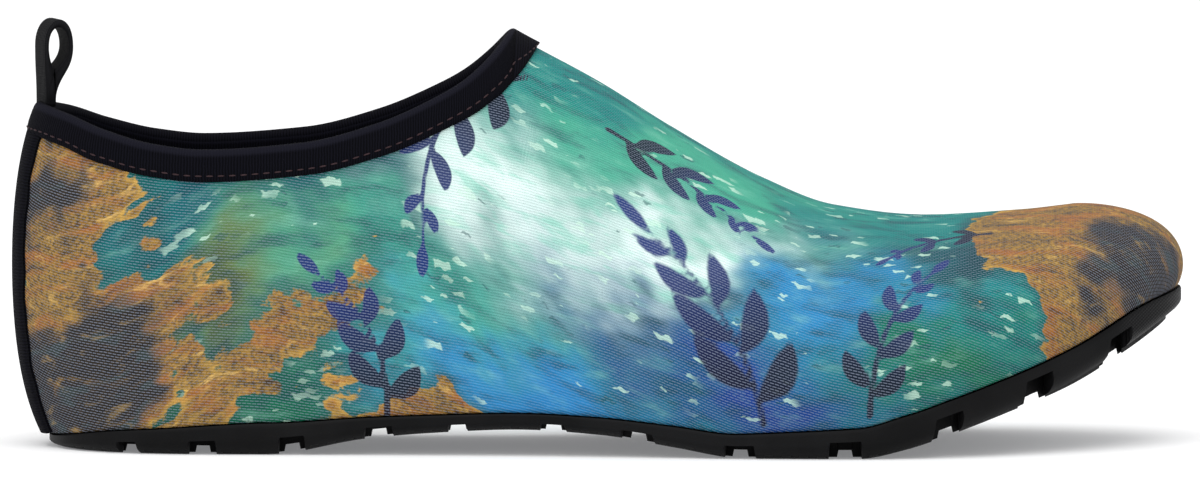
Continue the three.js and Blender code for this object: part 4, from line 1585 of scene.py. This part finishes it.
def edge_at(station, side):
    """The collar's edge, which goes on along the other side past the heel and past the throat."""
    passed = np.where(station > throat, 2 * throat - station, station)
    turned = np.where((station < 0) | (station > throat), -side, side)
    near = np.abs(passed)
    return skin(near, angle_below_collar(near, turned, 0), turned)


def over_collar(station, side):
    """The direction in the wall that points out over the collar's edge."""
    along = edge_at(station + NUDGE, side) - edge_at(station - NUDGE, side)
    over = unit(np.cross(along, outward(station, collar_angle(station, side), side)))
    return np.where(over[..., 2:] < 0, -over, over)


def fold_point(station, side, across, rise):
    """A point of the fold: across from 1 outside to -1 inside, and a rise from 0 to 1."""
    angle = collar_angle(station, side)
    distance = across * (WALL / 2 + REACH) - WALL / 2
    edge = shell(station, angle, side, np.full(np.shape(station), distance))
    return edge + over_collar(station, side) * rise * REACH


binding_stations = np.unique(np.concatenate([
    stations_between(0, throat, 260),
    stations_between(throat, binding_tip, 14),
]))
open_part = slice(0, int(np.sum(binding_stations <= throat + 1e-9)))
leg_share = np.linspace(0, 1, LEG_ROWS + 1)[:, None] ** 1.2
binding_piece = Piece()
for side in (OUTER, INNER):
    low = binding_angle(binding_stations, side)
    top = collar_angle(binding_stations, side)
    leg_angles = low + (top - low) * leg_share
    on_skin = skin(binding_stations, leg_angles, side)
    away = outward(binding_stations, leg_angles, side)
    thick = SEAM_GAP + BINDING_THICKNESS * taper(leg_share)[..., None]
    thick_in = thick + WALL
    edge_line = skin(binding_stations, top, side)
    run = np.concatenate([[0], np.cumsum(np.linalg.norm(np.diff(edge_line, axis=0), axis=-1))])
    down = leg_share * BINDING_WIDTH
    leg_map = np.stack(np.broadcast_arrays(run, down), axis=-1)
    outside = on_skin + away * thick
    inside = on_skin - away * thick_in
    under = on_skin + away * SEAM_GAP * UNDER_SHARE
    under_in = on_skin - away * (WALL + SEAM_GAP * UNDER_SHARE)
    binding_piece.sheet(outside, side == INNER, leg_map)
    binding_piece.sheet(inside, side == OUTER, leg_map)
    binding_piece.sheet(under, side == OUTER, leg_map)
    binding_piece.sheet(under_in, side == INNER, leg_map)
    binding_piece.sheet(np.stack([under[0], outside[0]]), side == INNER, leg_map[:2] * [1, 0])
    binding_piece.sheet(np.stack([inside[0], under_in[0]]), side == INNER, leg_map[:2] * [1, 0])
    open_stations = binding_stations[open_part]
    fold = [outside[-1, open_part]]
    for turn in np.linspace(0, math.pi, FOLD_ROWS + 2)[1:-1]:
        fold.append(fold_point(open_stations, side, math.cos(turn), math.sin(turn)))
    fold.append(inside[-1, open_part])
    fold_down = BINDING_WIDTH + np.linspace(0, FOLD_WIDTH, len(fold))[:, None]
    fold_map = np.stack(np.broadcast_arrays(run[open_part], fold_down), axis=-1)
    binding_piece.sheet(np.stack(fold), side == INNER, fold_map)
    channel_half = (WALL / 2 + CHANNEL_GAP) / (WALL / 2 + REACH)
    channel = [
        under[-1, open_part],
        fold_point(open_stations, side, channel_half, CHANNEL_RISE),
        fold_point(open_stations, side, -channel_half, CHANNEL_RISE),
        under_in[-1, open_part],
    ]
    binding_piece.sheet(np.stack(channel), side == OUTER, fold_map[:4])
binding, _ = binding_piece.build("collar_tape", [tape_finish])
finish_piece(binding, "collar_binding")

# %% [markdown]
# ## The binding's stitches
#
# One row of thread runs round the tape, a little over its lower edge. Each stitch is a short bead that
# dips into the cloth at both ends. A Geometry Nodes tree strings them along a line on the tape: it sets
# points at one pitch, puts a bead on each and turns it along the line. The tree is then made real, so
# that the piece is a plain mesh.

# %% Line of the stitches
STITCH_UP = 0.2
STITCH_OFF = 0.03
stitch_line = []
for side in (OUTER, INNER):
    low = binding_angle(binding_stations, side)
    top = collar_angle(binding_stations, side)
    at = low + (top - low) * STITCH_UP
    off = SEAM_GAP + BINDING_THICKNESS * float(taper(STITCH_UP)) + STITCH_OFF
    line = shell(binding_stations, at, side, np.full(binding_stations.shape, off))
    stitch_line.append(line if side == OUTER else line[::-1])
stitch_path = np.concatenate(stitch_line)
path_mesh = bpy.data.meshes.new("stitch_path")
path_points = ((stitch_path - origin) * MM).tolist()
path_mesh.from_pydata(path_points, [(i, i + 1) for i in range(len(path_points) - 1)], [])
path = bpy.data.objects.new("stitch_path", path_mesh)
bpy.context.scene.collection.objects.link(path)
print("points of the stitches' line:", len(path_points))

# %% [markdown]
# The thread is a dark one, a little redder than the tape. Fine noise stands for its twist.

# %% Thread
thread = Paint("dark_thread")
twist = thread.object_noise(3.0, 2.0)
thread_finish = thread.surface(
    Base_Color=thread.mix(twist, colour("1C1114"), colour("3E2A2E")),
    Roughness=0.7,
    Specular_IOR_Level=0.2,
)

# %% [markdown]
# The tree takes the line and three sizes, so that stitches of another length or thread need no other
# tree. It holds no random draw.

# %% Tree of the stitches
tree = bpy.data.node_groups.new("stitches", "GeometryNodeTree")
tree.interface.new_socket("Path", in_out="INPUT", socket_type="NodeSocketGeometry")
SIZE_NAMES = ("Pitch", "Half Length", "Half Thickness")
size_inputs = {name: tree.interface.new_socket(name, in_out="INPUT", socket_type="NodeSocketFloat")
               for name in SIZE_NAMES}
tree.interface.new_socket("Stitches", in_out="OUTPUT", socket_type="NodeSocketGeometry")


def tree_node(kind, settings=None, values=None):
    """A node of the tree, with its settings first and then its sockets."""
    made = tree.nodes.new(kind)
    for key, setting in (settings or {}).items():
        setattr(made, key, setting)
    for key, value in (values or {}).items():
        if isinstance(value, bpy.types.NodeSocket):
            tree.links.new(value, made.inputs[key])
        else:
            made.inputs[key].default_value = value
    return made


given = tree_node("NodeGroupInput")
curve = tree_node("GeometryNodeMeshToCurve", None, {"Mesh": given.outputs["Path"]})
even = tree_node("GeometryNodeResampleCurve", {"mode": "LENGTH"}, {
    "Curve": curve.outputs["Curve"],
    "Length": given.outputs["Pitch"],
})
tangent = tree_node("GeometryNodeInputTangent")
along_line = tree_node("FunctionNodeAlignRotationToVector", {"axis": "X"}, {"Vector": tangent.outputs[0]})
bead = tree_node("GeometryNodeMeshIcoSphere", None, {"Radius": 1.0, "Subdivisions": 2})
bead_size = tree_node("ShaderNodeCombineXYZ", None, {
    "X": given.outputs["Half Length"],
    "Y": given.outputs["Half Thickness"],
    "Z": given.outputs["Half Thickness"],
})
strung = tree_node("GeometryNodeInstanceOnPoints", None, {
    "Points": even.outputs["Curve"],
    "Instance": bead.outputs["Mesh"],
    "Rotation": along_line.outputs[0],
    "Scale": bead_size.outputs[0],
})
real = tree_node("GeometryNodeRealizeInstances", None, {"Geometry": strung.outputs["Instances"]})
smooth = tree_node("GeometryNodeSetShadeSmooth", None, {"Geometry": real.outputs["Geometry"]})
dressed = tree_node("GeometryNodeSetMaterial", None, {
    "Geometry": smooth.outputs["Geometry"],
    "Material": thread_finish,
})
tree_node("NodeGroupOutput", None, {"Stitches": dressed.outputs["Geometry"]})
print("nodes in the tree:", len(tree.nodes))

# %% [markdown]
# The tree runs on the line once. Its result becomes a plain mesh in an object of its own, and the line
# isn't needed any more.

# %% Sew the stitches
STITCH_SIZES = {"Pitch": 2.6, "Half Length": 0.85, "Half Thickness": 0.20}
sewing = path.modifiers.new("stitches", "NODES")
sewing.node_group = tree
for name, size in STITCH_SIZES.items():
    sewing[size_inputs[name].identifier] = size * MM
evaluated = path.evaluated_get(bpy.context.evaluated_depsgraph_get())
stitch_mesh = bpy.data.meshes.new_from_object(evaluated)
stitches = bpy.data.objects.new("binding_stitches", stitch_mesh)
bpy.context.scene.collection.objects.link(stitches)
path.modifiers.remove(sewing)
bpy.data.objects.remove(path)
bpy.data.meshes.remove(path_mesh)
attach(stitches, "root")
print("stitches:", len(stitch_mesh.polygons), "faces")

# %% [markdown]
# ## The heel's tape
#
# A strip of the same tape hides the back seam. Its face is a little rounded across, and its cut edges
# wander by a few tenths of a millimetre, as the seam pulls them.

# %% Heel tape
TAPE_THICKNESS = 0.8
TAPE_WIDTH = 22
TAPE_FOOT = 0.3
TAPE_CLEARANCE = -0.5
TAPE_GAP = 0.06
TAPE_LENGTH = 66
# The strip's map is shifted across by this many millimetres, so that the binding's painted highlight
# doesn't fall on it.
CLEAR_OF_FOLD_HIGHLIGHT = 20
HEEL_SIDE = 0.3
heel_rows = np.linspace(0, 1, 91)[:, None]
heel_columns = np.linspace(-1, 1, 25)[None, :]
heel_share, heel_across = np.broadcast_arrays(heel_rows, heel_columns)
heel_sides = np.where(heel_across < 0, OUTER, INNER)


def heel_angle(station, side, share):
    """The angle of a place on the tape, from just over the sole to just under the binding."""
    def miss(angle):
        foot = skin(station, -tuck_angle(station), side)[..., 2]
        return foot + TAPE_FOOT - skin(station, angle, side)[..., 2]

    low = solve(-tuck_angle(station), 0, miss)
    high = angle_below_collar(station, side, binding_drop(station) + TAPE_CLEARANCE)
    return low + (high - low) * share


def heel_grid(columns):
    """Where on the skin the tape's points lie."""
    wave = 0.22 * np.sin(heel_rows * 31) + 0.16 * np.sin(heel_rows * 53 + 1)
    half = np.abs(columns) * (TAPE_WIDTH / 2 + wave * np.sign(columns))

    def miss(station):
        angle = heel_angle(station, heel_sides, heel_share)
        return half - np.abs(skin(station, angle, heel_sides)[..., 1])

    station = np.where(half < 1e-6, 0, solve(np.zeros(half.shape), HEEL_SIDE, miss))
    return station, heel_angle(station, heel_sides, heel_share)


heel_station, heel_angles = heel_grid(np.array(heel_across))
round_edge = curve_through((0, 0.8, 0.93, 1), (1, 0.98, 0.8, 0.35))
round_face = SEAM_GAP + TAPE_THICKNESS * round_edge(np.abs(heel_across))
heel_face = shell(heel_station, heel_angles, heel_sides, round_face)
heel_back = shell(heel_station, heel_angles, heel_sides, np.full(heel_across.shape, TAPE_GAP))
heel_map = np.stack([heel_share * TAPE_LENGTH, heel_across * TAPE_WIDTH / 2 - CLEAR_OF_FOLD_HIGHLIGHT], axis=-1)
side_map = heel_map[:, :2].transpose(1, 0, 2)
heel_piece = Piece()
heel_piece.sheet(heel_face, True, heel_map)
heel_piece.sheet(heel_back, False, heel_map)
heel_piece.sheet(np.stack([heel_back[0], heel_face[0]]), True, heel_map[:2])
heel_piece.sheet(np.stack([heel_face[-1], heel_back[-1]]), True, heel_map[:2])
heel_piece.sheet(np.stack([heel_face[:, 0], heel_back[:, 0]]), False, side_map)
heel_piece.sheet(np.stack([heel_back[:, -1], heel_face[:, -1]]), False, side_map)
heel_tape, _ = heel_piece.build("heel_strip", [tape_finish])
finish_piece(heel_tape, "heel_tape")

# %% [markdown]
# ## The pull loop
#
# A band of webbing is folded back on itself, and its two ends are caught under the collar's tape. It
# stands up by its own stiffness, open like an eye. The webbing is woven with ribs along its length and
# is a little thinner at its edges.

# %% Webbing
WEB_RIB = 1.1
WEB_PICK = 0.55
webbing = Paint("black_webbing")
_, web_along, web_across = webbing.map_values()
web_ribs = web_across.waves(WEB_RIB) * 0.5 + 0.5
web_picks = web_along.waves(WEB_PICK) * 0.5 + 0.5
web_height = web_ribs * 0.8 + web_picks * 0.35
webbing_finish = webbing.surface(
    Base_Color=webbing.mix(web_height * 0.8, colour("050506"), colour("18181B")),
    Roughness=0.8,
    Specular_IOR_Level=0.08,
    Normal=webbing.bump(web_height, 0.16),
)

# %% [markdown]
# The loop is drawn as it looks from the band's edge: one line of Bezier curves round the outside and one
# round the eye. The band's width is then laid across that drawing. Its foot sinks into the binding's
# fold, as the real one is caught there.

# %% Loop
LOOP_HEIGHT = 20.4
LOOP_WEBBING = 9
LOOP_THICKNESS = 1.2
LOOP_EYE = 4.6
LOOP_LEAN = 2
LOOP_TURN = math.radians(17)
WAIST = 0.3
SHOULDER = 0.62
EYE_FOOT = 0.36
EYE_WAIST = 0.45
LOOP_CROWN = 1.6
LOOP_STEPS = 22
LOOP_SUNK = 1.3
FOLD_PLACES = ((0.7, 0.75), (0, 1), (-0.7, 0.75))


def bezier(*points):
    """Points along a cubic curve."""
    a, b, c, d = (np.array(point, float) for point in points)
    t = np.linspace(0, 1, LOOP_STEPS + 1)[:, None]
    return (1 - t) ** 3 * a + 3 * (1 - t) ** 2 * t * b + 3 * (1 - t) * t ** 2 * c + t ** 3 * d


def joined(*parts):
    """Curves in a row as one, without doubled points."""
    return np.concatenate([parts[0]] + [part[1:] for part in parts[1:]])


stem = LOOP_THICKNESS
shoulder = SHOULDER * LOOP_HEIGHT
back = LOOP_LEAN - LOOP_EYE / 2 - stem
front = LOOP_LEAN + LOOP_EYE / 2 + stem
waist = WAIST * LOOP_HEIGHT
eye_foot = (LOOP_LEAN / 2, EYE_FOOT * LOOP_HEIGHT)
eye_top = LOOP_HEIGHT - LOOP_CROWN * stem
eye_waist = EYE_WAIST * LOOP_HEIGHT
eye_back = LOOP_LEAN - LOOP_EYE / 2
eye_front = LOOP_LEAN + LOOP_EYE / 2
loop_outer = joined(
    bezier((-stem, -LOOP_SUNK), (-stem, waist), (back, waist), (back, shoulder)),
    bezier((back, shoulder), (back, LOOP_HEIGHT), (front, LOOP_HEIGHT + stem), (front, shoulder)),
    bezier((front, shoulder), (front, waist), (stem, waist), (stem, -LOOP_SUNK)),
)
loop_eye = joined(
    bezier(eye_foot, eye_foot, (eye_back, eye_waist), (eye_back, shoulder)),
    bezier((eye_back, shoulder), (eye_back, eye_top), (eye_front, eye_top), (eye_front, shoulder)),
    bezier((eye_front, shoulder), (eye_front, eye_waist), eye_foot, eye_foot),
)
web_rows = np.linspace(-1, 1, 17)
web_full = curve_through((0, 0.8, 0.93, 1), (1, 0.98, 0.9, 0.7))(np.abs(web_rows))
web_middle = (loop_outer + loop_eye) / 2
loop_length = np.concatenate([[0], np.cumsum(np.linalg.norm(np.diff(loop_outer, axis=0), axis=-1))])

fold_points = [fold_point(np.zeros(1), OUTER, across, rise)[0] for across, rise in FOLD_PLACES]
loop_foot = np.array([*fold_points[1][:2], max(point[2] for point in fold_points) + SEAM_GAP])


def loop_points(curve):
    """The webbing's width laid across a side view of the loop, turned and put in its place."""
    c = math.cos(LOOP_TURN)
    s = math.sin(LOOP_TURN)
    grid = []
    for row, full in zip(web_rows, web_full):
        side_view = web_middle + (curve - web_middle) * full
        x = side_view[:, 0]
        y = np.full(len(x), row * LOOP_WEBBING / 2)
        grid.append(np.stack([x * c - y * s, x * s + y * c, side_view[:, 1]], axis=-1) + loop_foot)
    return np.stack(grid)


loop_piece = Piece()
loop_map = np.stack(np.broadcast_arrays(loop_length, web_rows[:, None] * LOOP_WEBBING / 2), axis=-1)
outer_face = loop_points(loop_outer)
eye_face = loop_points(loop_eye)
loop_piece.sheet(outer_face, False, loop_map)
loop_piece.sheet(eye_face, True, loop_map)
loop_piece.sheet(np.stack([eye_face[0], outer_face[0]]), False, loop_map[:2])
loop_piece.sheet(np.stack([outer_face[-1], eye_face[-1]]), False, loop_map[-2:])
ends = np.stack([outer_face[:, 0], outer_face[:, -1]])
loop_piece.sheet(ends, False, loop_map[:, :2].transpose(1, 0, 2))
for row, flip in ((0, False), (-1, True)):
    corner = np.stack([outer_face[row, [0, -1]], eye_face[row, [0, 0]]])
    loop_piece.sheet(corner, flip, loop_map[:2, :2])
pull_loop, _ = loop_piece.build("webbing_loop", [webbing_finish])
finish_piece(pull_loop, "pull_loop")

# %% [markdown]
# ## The insole
#
# A thin foam sheet lies in the shoe. Its cover is a fine black cloth, and its rim is soft. Little of it
# shows, only from above through the collar.

# %% Foam
COVER_PITCH = 0.9
foam = Paint("dark_foam")
_, foam_along, foam_across = foam.map_values()
cover = foam_along.waves(COVER_PITCH) * foam_across.waves(COVER_PITCH) * 0.5 + 0.5
foam_finish = foam.surface(
    Base_Color=foam.mix(cover, colour("141417"), colour("26262A")),
    Roughness=0.92,
    Specular_IOR_Level=0.2,
    Normal=foam.bump(cover, 0.10),
)

# %% [markdown]
# The foam's outline is the upper's lower edge, one wall and a small clearance further in. Five rows round
# its rim, and flat faces close it. It is a soft piece.

# %% Insole
INSOLE_THICKNESS = 3.2
INSOLE_CLEARANCE = 0.45
insole_stations = np.linspace(0, 1, 121)

# Each row of the rim: its height as a share of the thickness, and how far in it lies.
rim_rows = ((0.0, 0.35), (0.35, 0.0), (0.75, 0.12), (0.94, 0.6), (1.0, 1.5))
insole_piece = Piece()
insole_rims = {}
for side in (OUTER, INNER):
    edge = foot_edge(insole_stations, side, WALL)
    square = foot_outward(insole_stations, side)
    rows = []
    for up, in_by in rim_rows:
        row = edge - square * (INSOLE_CLEARANCE + in_by)
        row[:, 2] = sole_top(edge[:, 0]) + SEAM_GAP + up * INSOLE_THICKNESS
        rows.append(row)
    insole_rims[side] = np.stack(rows)
    insole_piece.sheet(insole_rims[side], side == INNER)
share = np.linspace(0, 1, 31)[:, None, None]
for row, flip in ((0, True), (-1, False)):
    face = insole_rims[OUTER][row] * (1 - share) + insole_rims[INNER][row] * share
    insole_piece.sheet(face, flip)
insole, _ = insole_piece.build("insole_foam", [foam_finish])
finish_piece(insole, "insole")

# %% [markdown]
# ## Finish
#
# How far each piece reaches past its solid was printed as it was built.
